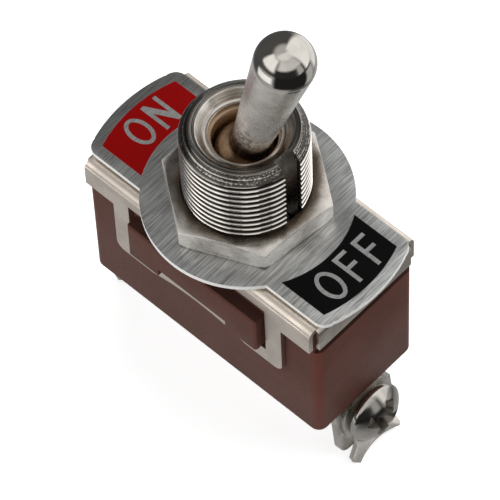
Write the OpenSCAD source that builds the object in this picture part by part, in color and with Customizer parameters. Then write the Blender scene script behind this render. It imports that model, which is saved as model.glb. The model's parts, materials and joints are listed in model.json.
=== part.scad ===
// Panel toggle switch with a round bat lever, a threaded bushing, an on/off
// legend plate and two screw terminals.
// The origin is on the bushing's axis, in the top face of the metal frame.
// +Z runs up the bushing and +X points at the load terminal, on the off side.

/* [Housing] */
// Length of the moulded housing
body_l = 28.8; // [26:0.2:32]
// Width of the moulded housing
body_w = 13; // [12.6:0.1:15]
// Depth from the frame's top face to the housing's underside
body_depth = 17.2; // [16.5:0.1:20]
// Radius of the housing's upright edges
body_edge_r = 1; // [0.4:0.1:1.6]
// Thickness of the housing's long walls
side_wall = 1.4; // [1:0.1:1.6]
// Thickness of the housing's end walls, which hold the terminals
end_wall = 2.8; // [2.6:0.1:3.2]
// Thickness of the housing's floor
floor_t = 3.2; // [2.6:0.1:3.6]
// Length of the catch on each long side
catch_l = 16; // [12:0.5:17]
// Gap between the catch and the foot of the frame's window
catch_gap = 0.3; // [0.1:0.05:0.6]
// How far the catch stands out of the frame's side
catch_proud = 0.85; // [0.3:0.05:1.2]
// Length of the relief under the catch
relief_l = 8.4; // [6:0.2:10]
// Height of the relief under the catch
relief_h = 1; // [0.3:0.1:1.4]

/* [Frame] */
// Thickness of the frame's sheet
sheet_t = 0.5; // [0.4:0.1:0.6]
// Inner radius of the frame's folds
fold_r = 0.3; // [0.1:0.05:0.5]
// Height of the frame's flanges
flange_h = 3.05; // [2.6:0.05:3.4]
// Height of the frame's sides
side_h = 10; // [9.6:0.1:12]
// Depth of the windows' upper edge below the frame's top face
window_top = 1.7; // [1.4:0.1:2.4]
// Height of the strip below each window
strip_h = 1.85; // [1.4:0.05:2.4]
// Rise of the arch in the strip's lower edge
arch_rise = 0.85; // [0.3:0.05:1]
// Width of each leg beside the window
leg_w = 1.95; // [1.4:0.05:2.2]
// Width of the open slit at each corner of the frame
corner_slit = 0.45; // [0.2:0.05:0.6]

/* [Bushing] */
// Major diameter of the bushing's thread
thread_d = 11.9; // [11.5:0.1:12.5]
// Pitch of the bushing's thread
thread_pitch = 0.75; // [0.6:0.05:1.25]
// Height of the bushing above the frame
bushing_h = 11.6; // [10:0.1:14]
// Height of the chamfer at the bushing's top
bushing_chamfer = 0.9; // [0.4:0.1:1.2]
// Diameter of the bore that the lever's ball lies in
ball_bore_d = 6; // [5.6:0.1:6.4]
// Width of the keyway
key_w = 2; // [1.4:0.1:2.4]
// Depth of the keyway
key_depth = 1.45; // [0.8:0.05:1.6]

/* [Legend plate, washer and nut] */
// Thickness of the legend plate
plate_t = 0.5; // [0.3:0.05:0.8]
// Radius of the plate's round middle
plate_r = 9.85; // [9:0.05:10.6]
// Radius of the rounded ends of the plate's wings
wing_r = 15.5; // [14.5:0.1:17]
// Width of the plate's wings
wing_w = 12; // [10:0.1:13]
// Radius of the wings' corners
wing_corner_r = 1.3; // [0.5:0.1:2]
// Thickness of the toothed washer under the plate
washer_t = 0.3; // [0.2:0.05:0.6]
// Outer diameter of the toothed washer
washer_d = 16.4; // [15:0.1:18]
// Number of teeth in the toothed washer
washer_teeth = 12; // [8:1:18]
// Height of the hexagon nut
nut_h = 2.5; // [2:0.1:4]
// Width of the hexagon nut across its flats
nut_af = 14.2; // [14:0.1:16]
// How far the nut is turned from the long axis
nut_turn = 24; // [0:1:59]

/* [Lever] */
// Height of the lever's pivot above the frame
pivot_z = 7.8; // [7:0.1:8.4]
// Lean of the lever each way from upright
lever_tilt = 16; // [10:0.5:17]
// Length of the lever from its pivot to its tip
lever_l = 22; // [18:0.1:26]
// Diameter of the lever's round tip
lever_tip_d = 5.6; // [4.5:0.1:6.4]
// Diameter of the lever where it leaves the ball
lever_neck_d = 3.7; // [3.2:0.1:4.2]
// Diameter of the lever's ball
ball_d = 5.8; // [5.4:0.1:5.9]
// Diameter of the stem below the ball
stem_d = 3.6; // [3.2:0.1:3.8]
// Length of the stem below the pivot
stem_l = 9.5; // [9:0.1:9.8]
// Diameter of the lever's cross pin
pin_d = 1.5; // [1:0.1:1.8]

/* [Contact works] */
// Diameter of the plunger's shank
plunger_d = 2.2; // [1.8:0.1:2.4]
// Diameter of the plunger's ball end
plunger_tip_d = 3; // [2.6:0.1:3.4]
// How far the middle of the plunger's ball end stands out of the stem
plunger_out = 3.5; // [3.2:0.1:3.8]
// Wire diameter of the plunger's spring
spring_wire_d = 0.35; // [0.2:0.05:0.4]
// Turns of the plunger's spring
spring_turns = 5; // [3:0.5:7]
// Tilt of the rocking contact each way from level
rocker_tilt = 8; // [6:0.5:9]
// Thickness of the rocking contact's strip
rocker_t = 0.8; // [0.6:0.1:1]
// Width of the rocking contact's strip
rocker_w = 5; // [4:0.1:5.4]
// Distance from the rocker's pivot to the silver contact
contact_x = 7.6; // [7:0.1:8]
// Diameter of the silver contacts
contact_d = 3; // [2.4:0.1:3.4]

/* [Terminals] */
// Thickness of the terminal strips
strip_t = 0.8; // [0.6:0.1:0.9]
// Width of the terminal strips inside the housing
strip_w = 5; // [4:0.1:6]
// Width of the terminal tabs below the housing
tab_w = 7.4; // [6.6:0.1:8]
// Length of the terminal tabs below the housing
tab_l = 7.4; // [7:0.1:9]
// Lean of the terminal tabs outwards
tab_tilt = 6; // [0:0.5:10]
// Angle of the wire guard below the tab, from upright
guard_angle = 48; // [30:1:60]
// Length of the wire guard
guard_l = 2.3; // [2:0.1:3]
// Diameter of the terminal screws
screw_d = 3.5; // [3:0.1:4]
// Length of the terminal screws under the head
screw_l = 5; // [4:0.5:6]
// Diameter of the screw heads
screw_head_d = 6.2; // [5.6:0.1:6.8]
// Height of the screw heads
screw_head_h = 2; // [1.6:0.1:2.4]
// Diameter of the dished washers
dish_d = 6.7; // [6:0.1:7.2]
// Thickness of the dished washers
dish_t = 0.45; // [0.3:0.05:0.6]
// Height of the dished washers' cone
dish_rise = 0.5; // [0.2:0.05:0.7]

/* [Hidden] */
$fn = 64;

eps = 0.01;                                   // overlap of solids that are joined
over = 1;                                     // how far a cutter reaches past what it cuts
seat = 0.05;                                  // gap between pieces that slide together when fitted
run = 0.05;                                   // running gap of a pivot
play = 0.2;                                   // gap round a piece that lies loose

// Frame and the pieces stacked on it
frame_in_w = body_w + 2*seat;
frame_w = frame_in_w + 2*sheet_t;
frame_l = body_l - 0.1;                       // the end flanges lie flush with the housing's ends
side_flange_l = frame_l - 2*corner_slit;
end_flange_w = frame_w - 2*(sheet_t + corner_slit) + 0.1;
window_bottom = side_h - strip_h;
window_l = catch_l + 2*corner_slit;
panel_l = window_l + 2*leg_w;                 // over the two legs
panel_corner_r = 1;
arch_l = 11.6;                                // length of the arch between the legs
arch_r = (arch_l*arch_l/4 + arch_rise*arch_rise)/(2*arch_rise);
tooth_gap = 0.9;                              // width between the washer's teeth
tooth_l = 1.1;
plate_z = washer_t;
// Middle of a wing's corner circle, which touches the end arc and the wing's edge
wing_tip_x = sqrt(pow(wing_r - wing_corner_r, 2) - pow(wing_w/2 - wing_corner_r, 2));
nut_z = plate_z + plate_t;
nut_top = nut_z + nut_h;
card_t = 0.3;                                 // insulating card under the frame
card_corner_r = 0.6;
rim_z = -(sheet_t + card_t);                  // top of the housing's walls

// Bushing
thread_r = thread_d/2;
root_r = thread_r - 0.35;                     // plain seat of the nut, plate and washer
sink_h = 0.45;                                // countersink in the nut's top
thread_z = nut_top + 0.15;                    // foot of the free thread
crest_w = 0.15;                               // flat on each crest of the thread
flank = 30;                                   // angle between a flank and level
groove_half = (thread_pitch - crest_w)/2;
groove_foot = 0.04;                           // half the flat at the foot of a groove
groove_depth = (groove_half - groove_foot)/tan(flank);
neck_r = 5.15;                                // neck that passes through the frame
lip_r = neck_r + 0.35;                        // lip rolled over under the frame
lip_h = 0.45;
lip_bottom = -(sheet_t + lip_h);
mouth_r = 4.43;                               // start of the bevel in the bushing's mouth
ledge_r = 3.65;                               // foot of the bevel
ledge_z = bushing_h - 0.8;
step_r = 3.3;                                 // counterbore between the bevel and the bore
step_z = ledge_z - 0.55;
bell_r = (pivot_z - lip_bottom)*tan(lever_tilt) + stem_d/2/cos(lever_tilt) + 0.12;  // clears the stem
bell_top = pivot_z - ball_d/2 - play;
pin_r = pin_d/2;
stem_r = stem_d/2;
bore_top = -1.6;                              // upper end of the stem's bore, from the pivot
spring_top = bore_top - 0.1;
plunger_in = 3.5;                             // length of the plunger's shank inside the stem
spring_low = plunger_in - stem_l;
pin_end = 1.2;                                // length of each end of the cross pin in its groove
pin_reach = ball_bore_d/2 + pin_end;

// Housing
cavity_l = body_l - 2*end_wall;
cavity_w = body_w - 2*side_wall;
floor_z = -body_depth + floor_t;
catch_drop = 1.6;                             // gap between the window's upper edge and the catch
catch_top = -(window_top + catch_drop);
catch_chamfer = 0.2;
catch_h = window_bottom - catch_gap + catch_top;
catch_out = frame_w/2 + catch_proud;
flange_ledge_z = -(flange_h + 0.7);           // ledge under each end flange
end_rebate = sheet_t + 2*seat;
slot_top = flange_ledge_z - 0.7;
slot_w = strip_w + 2*seat;
lip_room = 0.25;                              // room round the bushing's lip

// Plunger and rocker: the ball end's path is seen from the rocker to shape its cradle
plunger_reach = stem_l + plunger_out;         // from the pivot to the ball end's middle
tip_r = plunger_tip_d/2;
track_gap = 0.1;
rocker_z = pivot_z - plunger_reach - tip_r - track_gap - rocker_t/2;
tip_x = -plunger_reach*sin(lever_tilt);
tip_z = pivot_z - plunger_reach*cos(lever_tilt) - rocker_z;
path_x = tip_x*cos(rocker_tilt) + tip_z*sin(rocker_tilt);
path_z = -tip_x*sin(rocker_tilt) + tip_z*cos(rocker_tilt);
path_rise = path_z - (rocker_t/2 + track_gap + tip_r);
path_r = (path_x*path_x + path_rise*path_rise)/(2*path_rise);
cradle_r = path_r + tip_r + track_gap;        // inner radius of the rocker's cradle
cradle_x = 4.3;                               // half length of the cradle
cradle_rise = cradle_r - sqrt(cradle_r*cradle_r - cradle_x*cradle_x);
tail_x = 6.4;                                 // length of the rocker's tail
arm_x = contact_x + contact_d/2 + 0.2;
button_h = 0.8;
button_dome = 0.25;
shank_r = 0.68;                               // shank of the silver contacts
// Low point of the moving contact when the switch is on
made_x = contact_x*cos(rocker_tilt);
button_low = rocker_t/2 + cradle_rise - rocker_t - button_h;
made_z = rocker_z - contact_x*sin(rocker_tilt) + button_low*cos(rocker_tilt);
fixed_gap = 0.1;
fixed_h = 1.1;
pedestal_z = made_z - fixed_gap - fixed_h - strip_t;
pedestal_x = contact_x - contact_d/2 - 0.6;   // inner face of the pedestal
stop_l = 1.6;                                 // length of the off stop under the rocker's tail
stop_x = tail_x - 0.9;
stop_z = rocker_z - stop_x*sin(rocker_tilt) + (cradle_rise - rocker_t/2)*cos(rocker_tilt) - 0.15;
trunnion_r = 0.6;
stub_out = 0.3;                               // how far the pivot stubs stand out of the ears
ear_t = 0.8;
ear_gap = 0.2;
ear_w = 3.6;
ear_over = 1.2;                               // height of the ears above the pivot
base_z = floor_z + strip_t;                   // the saddle's seat on the common strip
rivet_r = 1.25;
rivet_head_r = 2.1;
rivet_head_h = 0.6;
rivet_sink = 0.7;                             // depth of the rivet's head in the floor

// Terminals
strip_x = body_l/2 - 0.65;                    // outer face of the strip in the end wall
slot_run = strip_x - strip_t/2 - cavity_l/2 + over;  // way from the cavity into the slot
tab_screw_s = 3.35;                           // screw's place down the tab
root_h = 0.3;                                 // straight root of a tab below the housing
guard_neck = 4;                               // width of the wire guard's neck
guard_w = 6.1;                                // width over its horns

// Rectangle with round corners, centred
module round_rect(l, w, r) {
    square([l - 2*r, w], center = true);
    square([l, w - 2*r], center = true);
    for (x = [-1, 1], y = [-1, 1])
        translate([x*(l/2 - r), y*(w/2 - r)]) circle(r = r);
}

// Upside-down tray section: flat top at 0 with rounded shoulders, reaching down by h
module tray(w, h, r) {
    translate([-w/2, -h]) square([w, h - r]);
    translate([-w/2 + r, -h]) square([w - 2*r, h]);
    for (x = [-1, 1]) translate([x*(w/2 - r), -r]) circle(r = r);
}

// Folded channel section of the sheet, seen along its length
module channel(w, h) {
    difference() {
        tray(w, h, fold_r + sheet_t);
        translate([0, -sheet_t]) tray(w - 2*sheet_t, h + over, fold_r);
    }
}

// Stands a drawing in x and z upright and gives it a depth along y
module along_y(depth) {
    rotate([90, 0, 0]) linear_extrude(depth, center = true) children();
}

// Stands a drawing in y and z upright and gives it a length along x
module along_x(length) {
    rotate([90, 0, 90]) linear_extrude(length, center = true) children();
}

// The lever's own axis, leaning to the off side
module lever_axis() {
    translate([0, 0, pivot_z]) rotate([0, lever_tilt, 0]) children();
}

// The rocker's own frame, with its tail held down
module rocker_axis() {
    translate([0, 0, rocker_z]) rotate([0, -rocker_tilt, 0]) children();
}

// The outer face of a tab, with z down the tab
module tab_axis() {
    translate([strip_x, 0, -body_depth]) rotate([0, -tab_tilt, 0]) children();
}

// A terminal screw's axis, with z out of the head
module screw_axis() {
    tab_axis() translate([0, 0, -tab_screw_s]) rotate([0, 90, 0]) children();
}

// Frame side seen from the side: flange, two legs and the arched strip that the catch holds
module side_outline() {
    difference() {
        union() {
            translate([0, -flange_h/2]) square([side_flange_l, flange_h], center = true);
            translate([0, -(side_h + panel_corner_r)/2])
                round_rect(panel_l, side_h - panel_corner_r, panel_corner_r);
        }
        translate([0, -(window_top + window_bottom)/2])
            square([window_l, window_bottom - window_top], center = true);
        translate([0, arch_rise - side_h - arch_r]) circle(r = arch_r, $fn = 128);
    }
}

module frame() {
    color([0.72, 0.69, 0.65])
    difference() {
        union() {
            intersection() {
                along_x(side_flange_l) channel(frame_w, side_h);
                along_y(frame_w + over) side_outline();
            }
            along_y(end_flange_w) channel(frame_l, flange_h);
        }
        translate([0, 0, -sheet_t - eps]) cylinder(r = neck_r + seat, h = sheet_t + 2*eps);
    }
}

// Moulded catch on the side at +y: chamfered in front, with a relief under its middle
module catch_block() {
    back = body_w/2 - eps;
    front = catch_out - catch_chamfer;
    difference() {
        intersection() {
            translate([0, 0, catch_top - catch_h])
                linear_extrude(catch_h)
                    polygon([[-catch_l/2, back], [catch_l/2, back], [catch_l/2, front],
                             [catch_l/2 - catch_chamfer, catch_out], [catch_chamfer - catch_l/2, catch_out],
                             [-catch_l/2, front]]);
            along_x(catch_l + over)
                polygon([[back, catch_top - catch_h], [catch_out, catch_top - catch_h],
                         [catch_out, catch_top - catch_chamfer], [front, catch_top], [back, catch_top]]);
        }
        translate([-relief_l/2, body_w/2, catch_top - catch_h - eps])
            cube([relief_l, catch_out, relief_h + eps]);
    }
}

module housing() {
    color([0.36, 0.22, 0.19])
    difference() {
        union() {
            translate([0, 0, -body_depth])
                linear_extrude(body_depth + rim_z) round_rect(body_l, body_w, body_edge_r);
            catch_block();
            mirror([0, 1, 0]) catch_block();
        }
        // rebates for the end flanges
        for (x = [-1, 1])
            translate([x*(body_l/2 + over - end_rebate), 0, flange_ledge_z/2])
                cube([2*over, body_w + over, -flange_ledge_z + eps], center = true);
        // cavity, leaving the pedestal and the off stop standing
        difference() {
            translate([-cavity_l/2, -cavity_w/2, floor_z]) cube([cavity_l, cavity_w, body_depth]);
            translate([pedestal_x, -cavity_w, floor_z - over])
                cube([cavity_l, 2*cavity_w, pedestal_z - floor_z + over]);
            translate([-tail_x - play, -cavity_w, floor_z - over])
                cube([stop_l, 2*cavity_w, stop_z - floor_z + over]);
        }
        // way past the off stop for the common strip
        translate([-cavity_l/2, -slot_w/2, floor_z])
            cube([cavity_l/2, slot_w, strip_t + play]);
        // room for the bushing's lip
        translate([0, 0, lip_bottom - lip_room]) cylinder(r = lip_r + lip_room, h = -lip_bottom + lip_room);
        // slots for the strips, closed above, and their way in from the cavity
        for (x = [-1, 1])
            translate([x*(strip_x - strip_t/2), 0, slot_top - body_depth])
                cube([strip_t + 2*seat, slot_w, 2*body_depth], center = true);
        translate([cavity_l/2 - over, -slot_w/2, pedestal_z])
            cube([slot_run, slot_w, slot_top - pedestal_z]);
        translate([-cavity_l/2 + over - slot_run, -slot_w/2, floor_z])
            cube([slot_run, slot_w, slot_top - floor_z]);
        // hole and counterbore for the rivet
        translate([0, 0, -body_depth - over]) {
            cylinder(r = rivet_r + seat, h = floor_t + 2*over);
            cylinder(r = rivet_head_r + 2*seat, h = over + rivet_sink);
        }
    }
}

module insulator() {
    card_l = frame_l - 2*sheet_t - 2*fold_r - play;
    card_w = frame_in_w - 2*fold_r - 2*seat;
    color([0.55, 0.35, 0.2])
    translate([0, 0, rim_z])
        difference() {
            linear_extrude(card_t) round_rect(card_l, card_w, card_corner_r);
            translate([0, 0, -eps]) cylinder(r = lip_r + 3*seat, h = card_t + over);
        }
}

// Groove between two crests of the thread, in section
module thread_groove() {
    mouth = groove_half + eps*tan(flank);
    polygon([[eps, -mouth], [eps, mouth], [-groove_depth, groove_foot], [-groove_depth, -groove_foot]]);
}

// The thread is drawn as a stack of level grooves at its pitch
module bushing() {
    free_l = bushing_h - bushing_chamfer - thread_z;
    grooves = floor((free_l + bushing_chamfer/2)/thread_pitch);  // the last one runs out in the chamfer
    color([0.78, 0.77, 0.75])
    difference() {
        rotate_extrude()
            difference() {
                polygon([
                    [bell_r, lip_bottom], [lip_r, lip_bottom], [lip_r, -sheet_t], [neck_r, -sheet_t],
                    [neck_r, 0], [root_r, 0], [root_r, thread_z], [thread_r, thread_z],
                    [thread_r, bushing_h - bushing_chamfer], [thread_r - bushing_chamfer, bushing_h],
                    [mouth_r, bushing_h], [ledge_r, ledge_z], [step_r, ledge_z], [step_r, step_z],
                    [ball_bore_d/2, step_z], [ball_bore_d/2, bell_top]]);
                for (i = [0:grooves - 1])
                    translate([thread_r, thread_z + crest_w/2 + (i + 0.5)*thread_pitch]) thread_groove();
            }
        // keyway on the off side
        translate([thread_r - key_depth, -key_w/2, eps]) cube([2*key_depth, key_w, bushing_h + over]);
        // grooves that take the ends of the lever's pin, cut up from below
        along_y(2*(pin_reach + play)) {
            translate([0, pivot_z]) circle(r = pin_r + run);
            translate([-pin_r - run, lip_bottom - over])
                square([2*(pin_r + run), pivot_z - lip_bottom + over]);
        }
    }
}

// Toothed washer, with its teeth turned inwards
module lock_washer() {
    color([0.7, 0.68, 0.64])
    linear_extrude(washer_t)
        difference() {
            circle(r = washer_d/2);
            circle(r = thread_r + 3*seat);
            for (i = [0:washer_teeth - 1])
                rotate(i*360/washer_teeth) translate([thread_r, -tooth_gap/2]) square([tooth_l, tooth_gap]);
        }
}

module plate_outline() {
    circle(r = plate_r, $fn = 128);
    intersection() {
        square([2*(wing_r + over), wing_w], center = true);
        circle(r = wing_r, $fn = 128);
        union() {
            square([2*wing_tip_x, wing_w], center = true);
            square([2*(wing_r + over), wing_w - 2*wing_corner_r], center = true);
            for (x = [-1, 1], y = [-1, 1])
                translate([x*wing_tip_x, y*(wing_w/2 - wing_corner_r)]) circle(r = wing_corner_r);
        }
    }
}

module nameplate() {
    color([0.75, 0.76, 0.77])
    translate([0, 0, plate_z])
        linear_extrude(plate_t)
            difference() {
                plate_outline();
                difference() {
                    circle(r = thread_r + play);
                    translate([thread_r - key_depth + play, -key_w/2 + play/2])
                        square([2*key_depth, key_w - play]);
                }
            }
}

module hex_nut() {
    corner_r = nut_af/2/cos(30);
    edge_r = corner_r + seat;
    foot_chamfer = 0.4;
    top_chamfer = 0.45;
    color([0.8, 0.79, 0.77])
    translate([0, 0, nut_z]) rotate(nut_turn)
        difference() {
            intersection() {
                linear_extrude(nut_h) circle(r = corner_r, $fn = 6);
                rotate_extrude()
                    polygon([[0, 0], [edge_r - foot_chamfer, 0], [edge_r, foot_chamfer],
                             [edge_r, nut_h - top_chamfer], [nut_af/2 + seat, nut_h], [0, nut_h]]);
            }
            translate([0, 0, -over]) cylinder(r = root_r + seat, h = nut_h + 2*over);
            translate([0, 0, nut_h - sink_h])
                cylinder(r1 = thread_r + seat, r2 = thread_r + seat + sink_h, h = sink_h + eps);
        }
}

module lever() {
    tip_rad = lever_tip_d/2;
    neck_rad = lever_neck_d/2;
    neck_s = 4.2;
    shoulder_s = lever_l - tip_rad;
    // the fillet touches the neck's side and the ball
    fillet_r = 1;
    fillet_x = neck_rad + fillet_r;
    reach = ball_d/2 + fillet_r;
    fillet_s = sqrt(reach*reach - fillet_x*fillet_x);
    touch = ball_d/2/reach;
    color([0.82, 0.81, 0.79])
    lever_axis()
        difference() {
            union() {
                sphere(d = ball_d);
                rotate_extrude()
                    difference() {
                        polygon([[0, 0], [touch*fillet_x, touch*fillet_s], [fillet_x - eps, fillet_s],
                                 [neck_rad, fillet_s], [neck_rad, neck_s], [tip_rad, shoulder_s],
                                 [0, shoulder_s]]);
                        translate([fillet_x, fillet_s]) circle(r = fillet_r);
                    }
                translate([0, 0, shoulder_s]) sphere(r = tip_rad);
                translate([0, 0, -stem_l]) cylinder(r = stem_r, h = stem_l);
            }
            translate([0, 0, -stem_l - over]) cylinder(r = plunger_d/2 + run, h = stem_l + bore_top + over);
            rotate([90, 0, 0]) cylinder(r = pin_r + 2*eps, h = ball_d + 2*over, center = true);
        }
}

module lever_pin() {
    color([0.6, 0.6, 0.62])
    translate([0, 0, pivot_z]) rotate([90, 0, 0]) cylinder(r = pin_r, h = 2*pin_reach, center = true);
}

module plunger() {
    collar_h = 0.8*tip_r;
    color([0.8, 0.65, 0.35])
    lever_axis() {
        translate([0, 0, -plunger_reach]) {
            sphere(r = tip_r);
            cylinder(r = tip_r, h = collar_h);
            cylinder(r = plunger_d/2, h = plunger_reach + spring_low);
        }
    }
}

// Coil spring as one swept tube
module plunger_spring() {
    coil_r = plunger_d/2 - spring_wire_d/2 - seat;
    steps = 16;
    sides = 6;
    rings = round(spring_turns*steps);
    low = spring_low + spring_wire_d/2 + 2*eps;
    height = spring_top - spring_low - spring_wire_d - 4*eps;
    points = [for (i = [0:rings], j = [0:sides - 1])
        let (a = 360*i/steps, b = 360*j/sides, r = coil_r + spring_wire_d/2*cos(b))
        [r*cos(a), r*sin(a), low + height*i/rings + spring_wire_d/2*sin(b)]];
    faces = concat(
        [[for (j = [0:sides - 1]) j]],
        [for (i = [0:rings - 1], j = [0:sides - 1])
            [i*sides + j, (i + 1)*sides + j, (i + 1)*sides + (j + 1)%sides, i*sides + (j + 1)%sides]],
        [[for (j = [0:sides - 1]) rings*sides + sides - 1 - j]]);
    color([0.7, 0.7, 0.72]) lever_axis() polyhedron(points, faces);
}

// Rocker strip seen from the side, in its own frame
module rocker_profile() {
    mid = rocker_t/2;
    difference() {
        translate([-cradle_x, -mid]) square([2*cradle_x, cradle_rise + rocker_t]);
        translate([0, mid + cradle_r]) circle(r = cradle_r, $fn = 128);
        difference() {
            translate([-cradle_x - over, -mid - over])
                square([2*(cradle_x + over), cradle_rise + over + eps]);
            translate([0, mid + cradle_r]) circle(r = cradle_r + rocker_t, $fn = 128);
        }
    }
    translate([cradle_x - eps, cradle_rise - mid]) square([arm_x - cradle_x + eps, rocker_t]);
    translate([-tail_x, cradle_rise - mid]) square([tail_x - cradle_x + eps, rocker_t]);
}

module rocker() {
    trunnion_l = rocker_w + 2*(ear_gap + ear_t + stub_out);
    color([0.8, 0.6, 0.3])
    rocker_axis()
        difference() {
            union() {
                along_y(rocker_w) rocker_profile();
                rotate([90, 0, 0]) cylinder(r = trunnion_r, h = trunnion_l, center = true);
            }
            // the pivot stubs stand out at the sides only
            for (side = [-1, 1])
                translate([0, 0, side*(rocker_t/2 + over)])
                    cube([4*trunnion_r, rocker_w, 2*over], center = true);
            translate([contact_x, 0, 0]) cylinder(r = shank_r + 2*eps, h = 2*arm_x, center = true);
        }
}

// Silver contact with a domed face at 0, a shank and a small head behind
module contact_button(h, through) {
    rotate_extrude()
        polygon(concat(
            [[0, 0]],
            [for (i = [1:5]) [contact_d/2*i/5, button_dome*pow(i/5, 2)]],
            [[contact_d/2, h], [shank_r, h], [shank_r, h + through], [0, h + through]]));
}

module rocker_contact() {
    color([0.85, 0.85, 0.87])
    rocker_axis() translate([contact_x, 0, button_low]) contact_button(button_h, rocker_t);
}

module fixed_contact() {
    color([0.85, 0.85, 0.87])
    translate([made_x, 0, made_z - fixed_gap]) mirror([0, 0, 1]) contact_button(fixed_h, strip_t);
}

// Bracket that carries the rocker: a base and two ears with open notches
module saddle() {
    inner = rocker_w/2 + ear_gap;
    outer = inner + ear_t;
    notch_r = trunnion_r + run;
    color([0.8, 0.62, 0.3])
    difference() {
        union() {
            translate([-ear_w/2, -outer, base_z]) cube([ear_w, 2*outer, ear_t]);
            along_y(2*outer) {
                translate([0, rocker_z]) circle(r = ear_w/2);
                translate([-ear_w/2, base_z]) square([ear_w, rocker_z - base_z]);
            }
        }
        translate([-ear_w, -inner, base_z + ear_t]) cube([2*ear_w, 2*inner, body_depth]);
        along_y(2*outer + over) {
            translate([0, rocker_z]) circle(r = notch_r);
            translate([-notch_r, rocker_z]) square([2*notch_r, ear_w]);
        }
        translate([-ear_w, -body_w/2, rocker_z + ear_over]) cube([2*ear_w, body_w, ear_w]);
        translate([0, 0, base_z - over]) cylinder(r = rivet_r + seat, h = ear_t + 2*over);
    }
}

// Rivet through the saddle, the common strip and the housing's floor
module saddle_rivet() {
    foot = -body_depth + rivet_sink;
    top = base_z + ear_t;
    crown_r = rivet_head_r*0.75;
    color([0.75, 0.6, 0.35])
    rotate_extrude()
        polygon([[0, foot - rivet_head_h], [crown_r, foot - rivet_head_h], [rivet_head_r, foot],
                 [rivet_r, foot], [rivet_r, top], [rivet_head_r, top],
                 [crown_r, top + rivet_head_h], [0, top + rivet_head_h]]);
}

// Outline of the tab below the housing, with one corner cut off at the top
module tab_outline() {
    half = tab_w/2;
    r = 1.2;
    cut = 0.8;                                // how far the corner is cut back
    polygon([[-half, 0], [half - cut, 0], [half - cut, -1.5*cut], [half, -3*cut], [half, -tab_l + r],
             [half - r, -tab_l], [-half + r, -tab_l], [-half, -tab_l + r]]);
    for (y = [-1, 1]) translate([y*(half - r), -tab_l + r]) circle(r = r);
}

// Wire guard: a tongue that widens into two horns with a hollow edge between them
module guard_outline() {
    horn = guard_w/2;
    neck = guard_neck/2;
    tip = 0.3;                                // cut corner of each horn
    hollow = 2*tip;
    chord = horn - tip;
    hollow_r = (chord*chord + hollow*hollow)/(2*hollow);
    difference() {
        polygon([[-neck, hollow], [neck, hollow], [neck, -guard_l/3], [horn, -guard_l*0.6],
                 [horn, tip - guard_l], [chord, -guard_l], [-chord, -guard_l], [-horn, tip - guard_l],
                 [-horn, -guard_l*0.6], [-neck, -guard_l/3]]);
        translate([0, hollow - guard_l - hollow_r]) circle(r = hollow_r, $fn = 128);
    }
}

// Everything of a terminal below the housing
module tab() {
    tab_axis() {
        difference() {
            translate([-strip_t/2, 0, 0]) along_x(strip_t) tab_outline();
            translate([0, 0, -tab_screw_s]) rotate([0, 90, 0])
                cylinder(r = screw_d/2 + seat, h = 4*over, center = true);
        }
        translate([-strip_t/2, 0, -tab_l + strip_t/2])
            rotate([0, -(guard_angle - tab_tilt), 0])
                along_x(strip_t) guard_outline();
    }
    // the strip in the end wall, down to the tab
    translate([strip_x - strip_t, -strip_w/2, -body_depth - root_h]) cube([strip_t, strip_w, 2*root_h]);
}

module load_terminal() {
    color([0.76, 0.75, 0.72])
    difference() {
        union() {
            tab();
            translate([strip_x - strip_t, -strip_w/2, -body_depth])
                cube([strip_t, strip_w, body_depth + pedestal_z + strip_t]);
            translate([pedestal_x + play, -strip_w/2, pedestal_z])
                cube([strip_x - pedestal_x - play, strip_w, strip_t]);
        }
        translate([made_x, 0, pedestal_z])
            cylinder(r = shank_r + 2*eps, h = 2*(strip_t + over), center = true);
    }
}

module common_terminal() {
    strip_end = rivet_head_r + 0.5;           // the strip ends just past the rivet
    color([0.76, 0.75, 0.72])
    difference() {
        mirror([1, 0, 0]) {
            tab();
            translate([strip_x - strip_t, -strip_w/2, -body_depth])
                cube([strip_t, strip_w, floor_t + strip_t]);
            translate([-strip_end, -strip_w/2, floor_z]) cube([strip_x + strip_end, strip_w, strip_t]);
        }
        translate([0, 0, floor_z - over]) cylinder(r = rivet_r + seat, h = strip_t + 2*over);
    }
}

// Dished washer, its rim on the tab and its middle under the screw head
module dished_washer() {
    hole_r = screw_d/2 + 2*seat;
    color([0.74, 0.73, 0.7])
    screw_axis()
        rotate_extrude()
            polygon([[hole_r, dish_rise], [dish_d/2, 0], [dish_d/2, dish_t], [hole_r, dish_rise + dish_t]]);
}

// Terminal screw with a domed head and a cross recess
module terminal_screw() {
    under = dish_rise + dish_t;
    r = screw_head_d/2;
    rim = 0.55;                               // straight side of the head
    cross_l = 4.4;
    cross_w = 1.1;
    cross_depth = 1.2;
    dome = screw_head_h - rim;
    dome_r = (r*r + dome*dome)/(2*dome);
    color([0.8, 0.79, 0.77])
    screw_axis()
        difference() {
            union() {
                translate([0, 0, under - screw_l]) cylinder(r = screw_d/2, h = screw_l + eps);
                translate([0, 0, under]) cylinder(r = r, h = rim);
                intersection() {
                    translate([0, 0, under + screw_head_h - dome_r]) sphere(r = dome_r, $fn = 96);
                    translate([0, 0, under + rim - eps]) cylinder(r = r, h = dome + over);
                }
            }
            for (a = [0, 90])
                rotate(a) translate([0, 0, under + screw_head_h])
                    cube([cross_l, cross_w, 2*cross_depth], center = true);
        }
}

module load_screw() { terminal_screw(); }
module common_screw() { mirror([1, 0, 0]) terminal_screw(); }
module load_washer() { dished_washer(); }
module common_washer() { mirror([1, 0, 0]) dished_washer(); }

housing();
frame();
insulator();
bushing();
lock_washer();
nameplate();
hex_nut();
lever();
lever_pin();
plunger();
plunger_spring();
rocker();
rocker_contact();
saddle();
saddle_rivet();
common_terminal();
load_terminal();
fixed_contact();
common_screw();
load_screw();
common_washer();
load_washer();
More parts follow.
